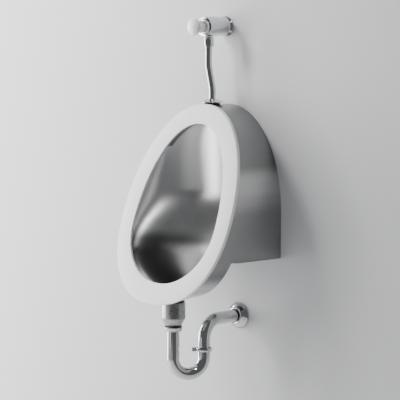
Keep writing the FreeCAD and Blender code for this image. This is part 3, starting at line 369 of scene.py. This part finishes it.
# Colour, metallic, roughness and its spread, grain, stretch and bump, and for the bowl its upright axis.
even = (1, 1, 1)
finish_values = {
    # Rim: partly the satin steel's own pale colour and partly a painted reflection. The near-white, almost
    # non-metal colour stands in for a bright lamp mirrored in the plate.
    "rim_steel": ((0.98, 0.98, 0.985), 0.05, 0.42, 0.05, 260, even, 0.03 * MM),
    "casing_steel": ((0.80, 0.80, 0.80), 1.0, 0.30, 0.03, 40, (1, 0.4, 14), 0.02 * MM),
    "bowl_steel": ((0.66, 0.66, 0.665), 1.0, 0.36, 0.03, 30, (2.2, 1, 0.5), 0.02 * MM, (0, -0.2)),
    # Painted shade: the flush channel's steel is made dark to stand for the shade behind the rim.
    "channel_steel_painted_shade": ((0.30, 0.30, 0.30), 1.0, 0.42, 0.04, 60, even, 0.02 * MM),
    "cup_steel": ((0.37, 0.37, 0.37), 1.0, 0.30, 0.06, 80, (1, 1, 14), 0.05 * MM),
    # Button cap: the same near-white, almost non-metal steel as the rim. It is partly its own pale colour
    # and partly a painted reflection of the lamps.
    "button_steel": ((0.97, 0.97, 0.975), 0.05, 0.36, 0.05, 260, even, 0.03 * MM),
    "screw_steel": ((0.60, 0.60, 0.60), 1.0, 0.32, 0.06, 150, even, 0.03 * MM),
    "spring_steel": ((0.5, 0.5, 0.52), 1.0, 0.30, 0.05, 150, even, 0.02 * MM),
    "chrome": ((0.56, 0.56, 0.57), 1.0, 0.09, 0.03, 40, even, 0.0),
    "brass": ((0.72, 0.56, 0.30), 1.0, 0.33, 0.06, 90, even, 0.03 * MM),
    "black_rubber": ((0.018, 0.018, 0.019), 0.0, 0.62, 0.08, 120, even, 0.05 * MM),
}
finishes = {name: finish(name, *values) for name, values in finish_values.items()}
slot_finish = {"stainless": "casing_steel"}
# The flush channel takes the dark steel that is painted shade.
node_finish = {"flush_channel": finishes["channel_steel_painted_shade"]}


def paint_light_and_shade_by_height(made, stops):
    """Paints light and shade into a finish by height by darkening its colour: stops are (height, share of
    the tone kept), from the lowest up. A band darkened less is painted light, and a band darkened more is
    painted shade.
    """
    low, high = -0.25, 0.25

    def place_of(height):
        return (height - low) / (high - low)

    tree = made.node_tree
    add, link = tree.nodes.new, tree.links.new
    shader = tree.nodes["Principled BSDF"]
    place = add("ShaderNodeTexCoord")
    split = add("ShaderNodeSeparateXYZ")
    link(place.outputs["Object"], split.inputs[0])
    share = add("ShaderNodeMapRange")
    share.inputs["From Min"].default_value = low
    share.inputs["From Max"].default_value = high
    link(split.outputs["Z"], share.inputs["Value"])
    # The ramp of painted light and shade, by height.
    ramp = add("ShaderNodeValToRGB")
    ramp.color_ramp.interpolation = "EASE"
    ramp.color_ramp.elements[0].position = place_of(stops[0][0])
    ramp.color_ramp.elements[1].position = place_of(stops[-1][0])
    for height, _ in stops[1:-1]:
        ramp.color_ramp.elements.new(place_of(height))
    for mark, (_, tone) in zip(ramp.color_ramp.elements, stops):
        mark.color = (tone, tone, tone, 1)
    link(share.outputs[0], ramp.inputs[0])
    times = add("ShaderNodeMix")
    times.data_type = "RGBA"
    times.blend_type = "MULTIPLY"
    times.inputs["Factor"].default_value = 1.0
    link(shader.inputs["Base Color"].links[0].from_socket, times.inputs["A"])
    link(ramp.outputs["Color"], times.inputs["B"])
    link(times.outputs["Result"], shader.inputs["Base Color"])


# Painted shade in the bowl: its colour is darkened strongly towards the bottom, standing in for the dim
# lower bowl and damping a lamp's reflection there.
paint_light_and_shade_by_height(finishes["bowl_steel"],
               [(-0.24, 0.28), (-0.14, 0.19), (-0.105, 0.24), (-0.072, 0.80), (0.0, 0.88), (0.24, 1.0)])
# Painted light and shade on the casing and chin: a lighter band at mid height is a painted highlight, the
# casing's top and the chin's top are darkened as painted shade, and the chin lightens towards its bottom.
paint_light_and_shade_by_height(finishes["casing_steel"],
               [(-0.25, 0.84), (-0.215, 0.76), (-0.175, 0.30), (-0.150, 0.42), (-0.030, 0.46),
                (0.012, 0.66), (0.030, 0.76), (0.058, 0.74), (0.095, 0.34), (0.24, 0.33)])


def finish_of(slot_name):
    return finishes[slot_finish.get(slot_name, slot_name)]


# ---------------------------------------------------------------- mesh tools
node_slot = {s["node"]: s["material_slot"] for s in frame["record"]["subparts"]}


def new_piece(bm, name, node, body=ROOT, material=None, crease=32.0, wall=None):
    """Turns a bmesh into a piece that stands for a node.

    crease is in degrees, and wall is (thickness, +1 outside or -1 inside)."""
    bmesh.ops.remove_doubles(bm, verts=bm.verts, dist=merge_gap)
    for face in bm.faces:
        face.smooth = True
    for edge in bm.edges:
        edge.smooth = len(edge.link_faces) == 2 and edge.calc_face_angle() < math.radians(crease)
    mesh = bpy.data.meshes.new(name)
    bm.to_mesh(mesh)
    bm.free()
    mesh.materials.append(material or finish_of(node_slot[node]))
    obj = bpy.data.objects.new(name, mesh)
    bpy.context.scene.collection.objects.link(obj)
    if wall:
        thick = obj.modifiers.new("sheet", "SOLIDIFY")
        thick.thickness, thick.offset = wall
        thick.use_even_offset = True
    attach(obj, body)
    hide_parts(node)
    return obj


def face_away(bm, centre):
    """Turns the faces of an open shell so that they point away from the centre."""
    bmesh.ops.remove_doubles(bm, verts=bm.verts, dist=merge_gap)
    bmesh.ops.recalc_face_normals(bm, faces=bm.faces)
    outward = sum(f.normal.dot(f.calc_center_median() - centre) * f.calc_area() for f in bm.faces)
    if outward < 0:
        bmesh.ops.reverse_faces(bm, faces=bm.faces)


def turned(bm, profile, centre, axis, soft, steps=96):
    """Spins a profile of (radius, along) points about an axis through the centre, with softened corners."""
    across = Vector((1, 0, 0))
    blunt = math.radians(155)
    start = bm.verts[:]
    verts = [bm.verts.new(centre + across * r + axis * a) for r, a in profile]
    edges = [bm.edges.new(pair) for pair in zip(verts, verts[1:])]
    if profile[0][0] > 0:
        edges.append(bm.edges.new((verts[-1], verts[0])))
    corners = []
    for vert, (radius, _) in zip(verts, profile):
        if radius > 0 and len(vert.link_edges) == 2:
            a, b = (e.other_vert(vert).co - vert.co for e in vert.link_edges)
            if a.angle(b) < blunt:
                corners.append(vert)
    if corners:
        bmesh.ops.bevel(bm, geom=corners, offset=soft, offset_type="OFFSET", segments=3, profile=0.5,
                        affect="VERTICES", clamp_overlap=True, material=-1)
    made = [v for v in bm.verts if v not in start]
    lines = [e for e in bm.edges if e.verts[0] in made and not e.link_faces]
    bmesh.ops.spin(bm, geom=made + lines, cent=centre, axis=axis, dvec=(0, 0, 0), angle=math.tau,
                   steps=steps, use_merge=True, use_normal_flip=False, use_duplicate=False)
    bmesh.ops.remove_doubles(bm, verts=bm.verts, dist=merge_gap)
    bmesh.ops.recalc_face_normals(bm, faces=bm.faces)


def turned_piece(name, node, profile, centre, axis, soft, body=ROOT, material=None):
    """A piece that is one spun profile."""
    bm = bmesh.new()
    turned(bm, profile, centre, axis, soft)
    new_piece(bm, name, node, body, material)


def arc(middle, radius, first, last, steps):
    """Points of a round corner in a profile, its angles in degrees from the radius direction."""
    turns = [math.radians(first + (last - first) * i / steps) for i in range(steps + 1)]
    return [(middle[0] + radius * math.cos(t), middle[1] + radius * math.sin(t)) for t in turns]


def swell(first, last, bulge, steps=14):
    """Points from first to last of a profile, bowed outwards by bulge at the middle."""
    points = []
    for i in range(steps + 1):
        s = i / steps
        points.append((first[0] + (last[0] - first[0]) * s + 4 * bulge * s * (1 - s),
                       first[1] + (last[1] - first[1]) * s))
    return points


def edges_of(verts):
    return list({e for v in verts for e in v.link_edges})


def tube(bm, points, bend, radius, bore, around=64):
    """A bent tube: a ring is extruded along the straight runs and spun round the bends."""
    for size in (radius, bore):
        way = (points[1] - points[0]).normalized()
        turn = way.to_track_quat("Z", "Y").to_matrix().to_4x4()
        ring = bmesh.ops.create_circle(bm, segments=around, radius=size,
                                       matrix=Matrix.Translation(points[0]) @ turn)["verts"]
        edges = edges_of(ring)
        here = points[0]
        for i in range(1, len(points)):
            way = (points[i] - points[i - 1]).normalized()
            stop = points[i]
            if i < len(points) - 1:
                after = (points[i + 1] - points[i]).normalized()
                angle = way.angle(after)
                stop = points[i] - way * bend * math.tan(angle / 2)
            edges = push(bm, edges, stop - here)
            here = stop
            if i < len(points) - 1:
                axis = way.cross(after).normalized()
                centre = here + axis.cross(way) * bend
                steps = max(6, round(math.degrees(angle) / 4))
                made = bmesh.ops.spin(bm, geom=edges, cent=centre, axis=axis, dvec=(0, 0, 0), angle=angle,
                                      steps=steps, use_merge=False, use_normal_flip=False,
                                      use_duplicate=False)["geom_last"]
                edges = [g for g in made if isinstance(g, bmesh.types.BMEdge)]
                here = Matrix.Rotation(angle, 3, axis) @ (here - centre) + centre
    ends = [e for e in bm.edges if len(e.link_faces) == 1]
    for target in (points[0], points[-1]):
        near = [e for e in ends if (e.verts[0].co - target).length < 2 * radius]
        bmesh.ops.bridge_loops(bm, edges=near)
    bmesh.ops.remove_doubles(bm, verts=bm.verts, dist=merge_gap)
    bmesh.ops.recalc_face_normals(bm, faces=bm.faces)


def push(bm, edges, by):
    """Extrudes a ring of edges straight by a vector and gives the new ring."""
    made = bmesh.ops.extrude_edge_only(bm, edges=edges)["geom"]
    verts = {g for g in made if isinstance(g, bmesh.types.BMVert)}
    bmesh.ops.translate(bm, verts=list(verts), vec=by)
    new_edges = [g for g in made if isinstance(g, bmesh.types.BMEdge)]
    return [e for e in new_edges if e.verts[0] in verts and e.verts[1] in verts]


def skin(bm, rings, around):
    """Extrudes one closed ring into the next. Each ring gives its point for a turn of 0 to 2 pi."""
    turn_of = bm.verts.layers.float.new("turn")
    first = bmesh.ops.create_circle(bm, segments=around, radius=1.0)["verts"]
    for i, vert in enumerate(first):
        vert[turn_of] = math.tau * i / around
        vert.co = rings[0](vert[turn_of])
    edges = edges_of(first)
    for ring in rings[1:]:
        edges = push(bm, edges, Vector((0, 0, 0)))
        for vert in {v for e in edges for v in e.verts}:
            vert.co = ring(vert[turn_of])
    return edges


def grid(bm, across, down, place):
    """A grid whose points are placed by (u, v), each 0 to 1."""
    bmesh.ops.create_grid(bm, x_segments=across, y_segments=down, size=1.0)
    for vert in bm.verts:
        vert.co = place((vert.co.x + 1) / 2, (vert.co.y + 1) / 2)


# ---------------------------------------------------------------- outlines, as in the solids
def on_rim(across, along, depth=0.0):
    """A point on the rim's leaning plane, moved to the wall by depth."""
    y = -rim_reach + along * math.sin(rim_lean) + depth
    return Vector((across, y, rim_height + along * math.cos(rim_lean)))


def power_curve(width, height, power, turn):
    """A point of an arch: half an ellipse, which is squarer for a higher power."""
    c, s = math.cos(turn), math.sin(turn)
    return width * math.copysign(abs(c) ** (2 / power), c), height * abs(s) ** (2 / power)


def power_width(width, height, power, at):
    """Half the width of that arch at a height over its foot."""
    share = min(abs(at) / height, 1.0)
    return width * (1 - share ** power) ** (1 / power)


def egg(width, rise, drop, top_power, bottom_power, sink, depth):
    """A closed outline along the rim's plane: one arch up, and another one down."""
    def point(turn):
        if turn <= math.pi:
            x, y = power_curve(width, rise, top_power, turn)
        else:
            x, y = power_curve(width, drop, bottom_power, turn)
            y = -y
        return on_rim(x, y - sink, depth)
    return point


def rim_ring(inset, depth):
    return egg(rim_half_width - inset, rim_rise - inset, rim_drop - inset,
               rim_top_power, rim_bottom_power, 0.0, depth)


def opening_ring(outset, depth):
    return egg(opening_half_width + outset, opening_rise + outset, opening_drop + outset,
               opening_power, opening_power, opening_sink, depth)


# ---------------------------------------------------------------- rim, casing and chin
def front_rim():
    """Flat egg-shaped plate with a rounded edge turned back outside and a short lip inside."""
    bm = bmesh.new()
    steps = 6
    quarter = [math.radians(90 * i / steps) for i in range(steps + 1)]
    rings = [rim_ring(0, rim_return)]
    rings += [rim_ring(rim_round * (1 - math.cos(q)), rim_round * (1 - math.sin(q))) for q in quarter]
    rings += [opening_ring(opening_round * (1 - math.sin(q)), opening_round * (1 - math.cos(q)))
              for q in quarter]
    lip = rim_plate_depth / 2 + opening_return
    rings += [opening_ring(0, lip), opening_ring(rim_sheet, lip), opening_ring(rim_sheet, rim_plate_depth),
              rim_ring(rim_sheet, rim_plate_depth), rim_ring(rim_sheet, rim_return), rim_ring(0, rim_return)]
    skin(bm, rings, around=288)
    bmesh.ops.remove_doubles(bm, verts=bm.verts, dist=merge_gap)
    bmesh.ops.recalc_face_normals(bm, faces=bm.faces)
    new_piece(bm, "rim_plate", "front_rim", material=finishes["rim_steel"])


def casing():
    """Side sheet from the rim to the wall, arched over the top, with flanges turned in below."""
    half_width, rise, drop = rim_half_width - casing_inset, rim_rise - casing_inset, rim_drop - casing_inset
    low = casing_bottom_drop / math.cos(rim_lean)
    wall_rise = rise * math.cos(rim_lean)
    flange_end, side_end = 0.04, 0.24
    columns, rows, fold = 200, 16, math.radians(60)

    def half(s):
        """The right half, from the flange's inner edge (0) over the side to the crown (1)."""
        if s < flange_end:
            in_from_side = casing_flange * (1 - s / flange_end)
            x = power_width(half_width, drop, rim_bottom_power, low)
            return (on_rim(x - in_from_side, -low, rim_plate_depth),
                    Vector((casing_half_width_at_wall - in_from_side, 0, rim_height - casing_bottom_drop)))
        if s < side_end:
            share = (s - flange_end) / (side_end - flange_end)
            along = -low * (1 - share)
            x = power_width(half_width, drop, rim_bottom_power, along)
            return (on_rim(x, along, rim_plate_depth),
                    Vector((casing_half_width_at_wall, 0, rim_height - casing_bottom_drop * (1 - share))))
        turn = math.pi / 2 * (s - side_end) / (1 - side_end)
        x, y = power_curve(half_width, rise, rim_top_power, turn)
        wx, wz = power_curve(casing_half_width_at_wall, wall_rise, rim_top_power, turn)
        return on_rim(x, y, rim_plate_depth), Vector((wx, 0, rim_height + wz))

    def place(u, v):
        front, back = half(1 - abs(2 * u - 1))
        point = front.lerp(back, v)
        if u > 0.5:
            point.x = -point.x
        return point

    bm = bmesh.new()
    grid(bm, columns, rows, place)
    face_away(bm, Vector((0, -100 * MM, 0)))
    folds = [e for e in bm.edges if len(e.link_faces) == 2 and e.calc_face_angle() > fold]
    bmesh.ops.bevel(bm, geom=folds, offset=casing_corner, offset_type="OFFSET", segments=4, profile=0.5,
                    affect="EDGES", clamp_overlap=True, material=-1)
    new_piece(bm, "casing_sheet", "casing_shell", wall=(sheet, -1))


def chin():
    """Pan under the casing: the rim's lower outline drawn back to a leaning plate with a round edge."""
    top = rim_height - casing_bottom_drop
    top_along = casing_bottom_drop / math.cos(rim_lean)
    round_start, round_end = 0.55, 0.75
    near_by = 0.01
    columns, rows = 120, 40

    def outline(inset, turn_share):
        half_width, drop = rim_half_width - inset, rim_drop - inset
        first = math.asin((top_along / drop) ** (rim_bottom_power / 2))
        x, y = power_curve(half_width, drop, rim_bottom_power, first + (math.pi - 2 * first) * turn_share)
        return x, -y

    def back_plane(z):
        down = top - z
        return -chin_reach - down * math.tan(chin_back_lean)

    def place(u, v):
        x, along = outline(casing_inset, u)
        front = on_rim(x, along, rim_plate_depth)
        bx, balong = outline(casing_inset + chin_taper, u)
        back = Vector((bx, 0, rim_height + balong * math.cos(rim_lean)))
        back.y = back_plane(back.z)
        if v <= round_start:
            return front.lerp(back - TO_WALL * chin_round, v / round_start)
        near = outline(casing_inset + chin_taper, min(u + near_by, 1.0))
        far = outline(casing_inset + chin_taper, max(u - near_by, 0.0))
        inward = Vector((-(near[1] - far[1]), 0, near[0] - far[0])).normalized()
        if inward.z < 0:
            inward = -inward
        phi = math.radians(90) * min((v - round_start) / (round_end - round_start), 1.0)
        point = back + inward * chin_round * (1 - math.cos(phi)) - TO_WALL * chin_round * (1 - math.sin(phi))
        if v > round_end:
            share = (v - round_end) / (1 - round_end)
            point.z += (top - point.z) * share
            point.y = back_plane(point.z)
        return point

    bm = bmesh.new()
    grid(bm, columns, rows, place)
    for vert in bm.verts:
        vert.co.z = min(vert.co.z, top - weld_gap)
    face_away(bm, Vector((0, -215 * MM, top)))
    new_piece(bm, "chin_pan", "chin_shell", wall=(sheet, -1), crease=50)


# ---------------------------------------------------------------- bowl
def bowl_back(height):
    """How far the bowl's back stands from the wall at a height over the rim's widest line."""
    below = max(0.0, -casing_bottom_drop - height)
    share = min(max((height + casing_bottom_drop) / bowl_slope_rise, 0.0), 1.0)
    slope = 0.5 - 0.5 * math.cos(math.pi * share)
    above = max(0.0, height + casing_bottom_drop - bowl_slope_rise) / (bowl_top_rise + casing_bottom_drop)
    sump_back = chin_reach + bowl_to_chin
    reach = sump_back + (bowl_reach - sump_back) * slope
    return reach + below * math.tan(chin_back_lean) + bowl_top_lean * above ** 2


def bowl_bulge(height):
    """How far the middle of the bowl's oval lies behind the rim's plane, which is more low down."""
    mouth_end = (opening_drop + bowl_margin + opening_sink) * math.cos(rim_lean)
    share = max(0.0, -height - bowl_swell_start) / (mouth_end - bowl_swell_start)
    return bowl_front_gap + bowl_swell * share ** 1.5


def bowl_section(height):
    """Half width, half depth and middle of the bowl's oval at a height over the rim's widest line."""
    along = height / math.cos(rim_lean)
    behind = bowl_bulge(height)
    middle = on_rim(0, along).y + behind
    half_depth = -bowl_back(height) - middle
    if along < -opening_sink:
        half_width = power_width(opening_half_width + bowl_lower_margin, bowl_lower_drop,
                                 bowl_lower_power, along + opening_sink)
    else:
        mouth = power_width(opening_half_width + bowl_margin, opening_rise + bowl_margin,
                            opening_power, along + opening_sink)
        half_width = mouth / math.sqrt(1 - (behind / half_depth) ** 2)
    return half_width, half_depth, middle


def oval(half_width, half_depth, middle, height):
    """A level ring, as a function that gives its point for a turn."""
    return lambda turn: Vector((half_width * math.cos(turn), middle + half_depth * math.sin(turn),
                                rim_height + height))


def mix3(a, b, share):
    return [p + (q - p) * share for p, q in zip(a, b)]


def bowl():
    """Level ovals from the drain up to a rounded top, cut open along the rim's plate."""
    floor_round, top_round = 10 * MM, 20 * MM
    corner_steps, levels, around = 10, 90, 200
    lowest, highest = -bowl_floor_drop + floor_round, bowl_top_rise - top_round
    floor_half = waste_flange + drain_margin
    floor = (floor_half + 4 * drain_margin, floor_half, drain.y - drain_margin / 2)
    top_middle = on_rim(0, bowl_top_rise / math.cos(rim_lean)).y + bowl_front_gap
    top_half_width, top_half_depth = 42 * MM, 13 * MM
    top = (top_half_width, top_half_depth, top_middle)
    corner = [math.radians(90 * i / corner_steps) for i in range(1, corner_steps + 1)]
    rings = [oval(drain_hole, drain_hole, drain.y, -bowl_floor_drop), oval(*floor, -bowl_floor_drop)]
    for turn in corner[:-1]:
        size = mix3(floor, bowl_section(lowest), math.sin(turn))
        rings.append(oval(*size, -bowl_floor_drop + floor_round * (1 - math.cos(turn))))
    for i in range(levels + 1):
        height = lowest + (highest - lowest) * i / levels
        rings.append(oval(*bowl_section(height), height))
    for turn in corner:
        size = mix3(bowl_section(highest), top, 1 - math.cos(turn))
        rings.append(oval(*size, highest + top_round * math.sin(turn)))
    bm = bmesh.new()
    last = skin(bm, rings, around)
    bmesh.ops.edgeloop_fill(bm, edges=last)
    face_away(bm, Vector((0, -150 * MM, 0)))
    forward = Vector((0, -math.cos(rim_lean), math.sin(rim_lean)))
    bmesh.ops.bisect_plane(bm, geom=bm.verts[:] + bm.edges[:] + bm.faces[:], dist=1e-7,
                           plane_co=on_rim(0, 0, rim_plate_depth + weld_gap), plane_no=forward,
                           clear_outer=True)
    new_piece(bm, "bowl_sheet", "bowl", wall=(sheet, 1), crease=40)


# ---------------------------------------------------------------- push valve and flush tube
def push_button():
    """Round button with a low crowned face."""
    radius, edge, rise = 21.9 * MM, 4 * MM, 9.5 * MM
    corner, rim_corner, pull_in = 0.8 * MM, 1.2 * MM, 0.05 * MM
    fall, fall_from = 1.6 * MM, 0.82
    steps = 24
    dome = [(0, button_back), (radius - corner, button_back), (radius, button_back - corner),
            (radius, button_back - edge + rim_corner)]
    ball = (radius ** 2 + rise ** 2) / (2 * rise)
    whole = math.asin(radius / ball)
    for i in range(steps + 1):
        t = whole * (1 - i / steps)
        r = ball * math.sin(t)
        sunk = fall * max(0.0, (r / radius - fall_from) / (1 - fall_from)) ** 2
        along = button_back - edge - rise + ball - ball * math.cos(t) + sunk
        dome.append((min(r, radius - pull_in * (i == 0)), along))
    turned_piece("button_cap", "push_button", dome, valve, TO_WALL, soft=0.5 * MM, body=BUTTON,
                 material=finishes["button_steel"])


def button_sleeve():
    """Neck that widens to the button, with a plate there for the stem."""
    bore, radius, flare = 13.0 * MM, 14.5 * MM, 18.3 * MM
    back, flare_start, plate, waist = -86 * MM, -101 * MM, 1.5 * MM, -0.7 * MM
    sleeve = [(bore, button_back + plate), (bore, back), (radius, back), (radius, flare_start)]
    sleeve += swell((radius, flare_start), (flare, button_back), waist)[1:]
    sleeve += [(stem_bore, button_back), (stem_bore, button_back + plate)]
    turned_piece("button_neck", "button_sleeve", sleeve, valve, TO_WALL, soft=0.25 * MM,
                 body=BUTTON, material=finishes["button_steel"])


def valve_bonnet():
    """Ring screwed into the barrel's mouth, which guides the button's neck."""
    guide_bore, collar, thread = 14.8 * MM, 20.5 * MM, 19.4 * MM
    front, floor, back = -91 * MM, -74 * MM, -70 * MM
    bonnet = [(guide_bore, front), (collar, front), (collar, barrel_front), (thread, barrel_front),
              (thread, back), (stem_bore, back), (stem_bore, floor), (guide_bore, floor)]
    turned_piece("bonnet_ring", "valve_bonnet", bonnet, valve, TO_WALL, soft=0.8 * MM,
                 material=finishes["chrome"])


def valve_barrel():
    """Bowed barrel that narrows to the wall, with the outlet's neck under it."""
    mouth_bore, mouth, tail, bow = 17 * MM, 24.2 * MM, 22.0 * MM, 2.4 * MM
    nipple_bore, floor = 10.6 * MM, -22 * MM
    barrel = [(mouth_bore, barrel_front), (mouth, barrel_front)]
    barrel += swell((mouth, barrel_front), (tail, barrel_back), bow, 28)[1:]
    barrel += [(nipple_bore, barrel_back), (nipple_bore, floor), (mouth_bore, floor)]
    bm = bmesh.new()
    turned(bm, barrel, valve, TO_WALL, soft=0.6 * MM, steps=128)
    outlet_bore, outlet, shoulder = 8.0 * MM, 10.5 * MM, 12.4 * MM
    low, cone_low, cone_high, high = -42 * MM, -26.8 * MM, -24.2 * MM, -20 * MM
    neck = [(outlet_bore, low), (outlet, low), (outlet, cone_low), (shoulder, cone_high),
            (shoulder, high), (outlet_bore, high)]
    turned(bm, neck, valve_outlet, UP, soft=0.5 * MM)
    new_piece(bm, "valve_barrel", "valve_body", material=finishes["chrome"])


def wall_ring():
    """Dished ring between the barrel and the wall."""
    bore, edge, hub, dish = 10.7 * MM, 26 * MM, 21 * MM, -1.2 * MM
    edge_front, front = -2.5 * MM, -11.9 * MM
    ring = [(bore, -wall_gap), (edge, -wall_gap), (edge, edge_front)]
    ring += swell((edge, edge_front), (hub, front), dish)[1:] + [(bore, front)]
    turned_piece("wall_ring", "valve_wall_ring", ring, valve, TO_WALL, soft=0.6 * MM,
                 material=finishes["chrome"])


def union_ring():
    """Nut that holds the flush tube to the valve's outlet."""
    thread_bore, radius, tube_bore = 10.65 * MM, 13 * MM, 9.2 * MM
    top, ledge, bottom = -28 * MM, -46.6 * MM, -50 * MM
    nut = [(thread_bore, top), (radius, top), (radius, bottom), (tube_bore, bottom),
           (tube_bore, ledge), (thread_bore, ledge)]
    turned_piece("union_ring", "union_nut", nut, valve_outlet, UP, soft=1.0 * MM,
                 material=finishes["chrome"])


def return_spring():
    """Wire coiled between the bonnet's floor and the sleeve's end."""
    turns, coil, wire = 6, 8.5 * MM, 0.7 * MM
    front, back = -115.5 * MM, -75.0 * MM
    steps_a_turn, wire_sides = 28, 12
    steps = steps_a_turn * turns
    bm = bmesh.new()
    start = valve + Vector((coil, front, 0))
    ring = bmesh.ops.create_circle(bm, segments=wire_sides, radius=wire,
                                   matrix=Matrix.Translation(start))["verts"]
    edges = edges_of(ring)
    made = bmesh.ops.spin(bm, geom=edges, cent=valve, axis=TO_WALL, dvec=TO_WALL * (back - front) / steps,
                          angle=math.tau * turns, steps=steps, use_merge=False, use_normal_flip=False,
                          use_duplicate=False)["geom_last"]
    bmesh.ops.edgeloop_fill(bm, edges=edges)
    bmesh.ops.edgeloop_fill(bm, edges=[g for g in made if isinstance(g, bmesh.types.BMEdge)])
    bmesh.ops.recalc_face_normals(bm, faces=bm.faces)
    spring = new_piece(bm, "valve_spring", "return_spring")
    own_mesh(spring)


def flush_tube():
    """Tube from the union nut to the casing, with two bends that take it sideways."""
    into_nut, upper_straight, bend_drop, into_casing = 44 * MM, 98 * MM, 58 * MM, 12 * MM
    top = valve_outlet - UP * into_nut
    upper = valve_outlet - UP * upper_straight
    lower = Vector((0, -inlet_reach, upper.z - bend_drop))
    bottom = Vector((0, -inlet_reach, casing_top - into_casing))
    bm = bmesh.new()
    tube(bm, [top, upper, lower, bottom], tube_bend, tube_radius, tube_radius - tube_wall)
    new_piece(bm, "flush_pipe", "flush_tube", material=finishes["chrome"], crease=50)


def rosette():
    """Thin domed cover where the flush tube enters the casing."""
    base = casing_top + gasket_height
    top = base + rosette_height
    bore = tube_radius + 0.2 * MM
    flat, shoulder = bore + 4 * MM, bore + 6 * MM
    edge, wall, bow = 2 * MM, 1.2 * MM, 2.2 * MM
    cover = [(rosette_radius, base), (rosette_radius, base + edge)]
    cover += swell((rosette_radius, base + edge), (shoulder, top - 1 * MM), bow)[1:]
    cover += [(flat, top), (bore, top), (bore, top - wall), (flat, top - wall)]
    cover += [(rosette_radius - 4.6 * MM, base + 4 * MM), (rosette_radius - wall, base + wall)]
    turned_piece("inlet_dome", "inlet_rosette", cover, inlet, UP, soft=0.5 * MM,
                 material=finishes["chrome"])


# ---------------------------------------------------------------- waste and trap
def waste_cup():
    """Cup under the chin with a rounded shoulder, which narrows to a short neck."""
    inside, outside, neck_radius, neck = 24.2 * MM, 30.5 * MM, 19 * MM, cup_waist - 8 * MM
    shoulder_round, waist, funnel = 3.0 * MM, 20 * MM, 23 * MM
    cup = [(inside, cup_top), (outside, cup_top), (outside, cup_shoulder + shoulder_round)]
    cup += arc((outside - shoulder_round, cup_shoulder + 0.5 * MM), shoulder_round, 0, -40, steps=5)
    cup += [(waist, cup_waist), (neck_radius, cup_waist), (neck_radius, neck), (slip_bore, neck),
            (slip_bore, cup_waist + 2 * MM), (funnel, cup_shoulder - 2 * MM),
            (inside, cup_shoulder + 4 * MM)]
    turned_piece("waste_cup", "drain_cup", cup, drain, UP, soft=0.6 * MM)


def trap_ring():
    """Nut with a rounded shoulder that holds the trap's tube in the cup's neck."""
    thread_bore, radius, shoulder_round, floor = 19.2 * MM, 23 * MM, 1.8 * MM, 3 * MM
    shoulder, skirt, foot, mouth = 22.5 * MM, 21.8 * MM, 21.6 * MM, 20.2 * MM
    nut = [(thread_bore, nut_top), (radius, nut_top)]
    nut += arc((shoulder, nut_top - 2.2 * MM), shoulder_round, 60, -50, steps=8)
    nut += [(skirt, nut_bottom + 4.2 * MM), (foot, nut_bottom + 1 * MM),
            (mouth, nut_bottom), (slip_bore, nut_bottom), (slip_bore, nut_bottom + floor),
            (thread_bore, nut_bottom + floor)]
    turned_piece("trap_ring", "trap_nut", nut, drain, UP, soft=0.4 * MM, material=finishes["chrome"])


def trap_tube():
    """U-bend from the cup's neck down and up again to the swivel joint."""
    bend_slack, around = 0.0005 * MM, 96
    top = drain + UP * (cup_waist + 10 * MM)
    low = drain - UP * trap_low
    low_far = leg - UP * trap_low
    end = leg - UP * (trap_joint_drop + joint_half_gap)
    bm = bmesh.new()
    tube(bm, [top, low, low_far, end], trap_bend - bend_slack, trap_radius, trap_radius - tube_wall, around)
    new_piece(bm, "trap_tube", "trap_u_bend", material=finishes["chrome"], crease=50)


def outlet_tube():
    """Elbow from the swivel joint into the wall."""
    start = leg - UP * (trap_joint_drop - joint_half_gap)
    corner = leg - UP * trap_outlet_drop
    end = Vector((corner.x, outlet_into_wall, corner.z))
    around = 96
    bm = bmesh.new()
    tube(bm, [start, corner, end], outlet_bend_radius, trap_radius, trap_radius - tube_wall, around)
    new_piece(bm, "outlet_tube", "outlet_elbow", material=finishes["chrome"], crease=50)


def outlet_flange():
    """Thin dished cover with a hub, where the outlet enters the wall."""
    centre = Vector((leg.x, 0, -trap_outlet_drop))
    radius, hub, deep, far = 33.5 * MM, 20.5 * MM, -12 * MM, -17 * MM
    edge, wall, bow = -2 * MM, 1.2 * MM, 1.6 * MM
    seal_bore, seal_end, hub_back = slip_bore + 1.6 * MM, far + 4 * MM, far + 5.5 * MM
    dish = [(radius, -wall_gap), (radius, edge)]
    dish += swell((radius, edge), (hub + 1.5 * MM, deep), bow)[1:]
    dish += [(hub, deep - 1.5 * MM), (hub, far), (seal_bore, far), (seal_bore, seal_end),
             (slip_bore, seal_end), (slip_bore, hub_back), (hub - wall, hub_back),
             (hub - wall, deep + 2.4 * MM), (radius - wall, edge), (radius - wall, -wall_gap)]
    turned_piece("outlet_rosette", "wall_flange", dish, centre, TO_WALL, soft=0.5 * MM,
                 material=finishes["chrome"])


# ---------------------------------------------------------------- pieces kept from the solids
def dress_solids():
    """Gives every shown node its finish and smooth shading."""
    weld_reach, crease = 0.01 * MM, math.radians(28)
    for name, node in frame["nodes"].items():
        if node.hide_render:
            continue
        node.data.materials.clear()
        node.data.materials.append(node_finish.get(name) or finish_of(node_slot[name]))
        for face in node.data.polygons:
            face.use_smooth = True
        weld = node.modifiers.new("weld", "WELD")
        weld.merge_threshold = weld_reach
        split = node.modifiers.new("creases", "EDGE_SPLIT")
        split.split_angle = crease


photo_camera()
studio_lights()
studio_world()
room()
front_rim()
casing()
chin()
bowl()
push_button()
button_sleeve()
valve_bonnet()
valve_barrel()
wall_ring()
union_ring()
return_spring()
flush_tube()
rosette()
waste_cup()
trap_ring()
trap_tube()
outlet_tube()
outlet_flange()
dress_solids()
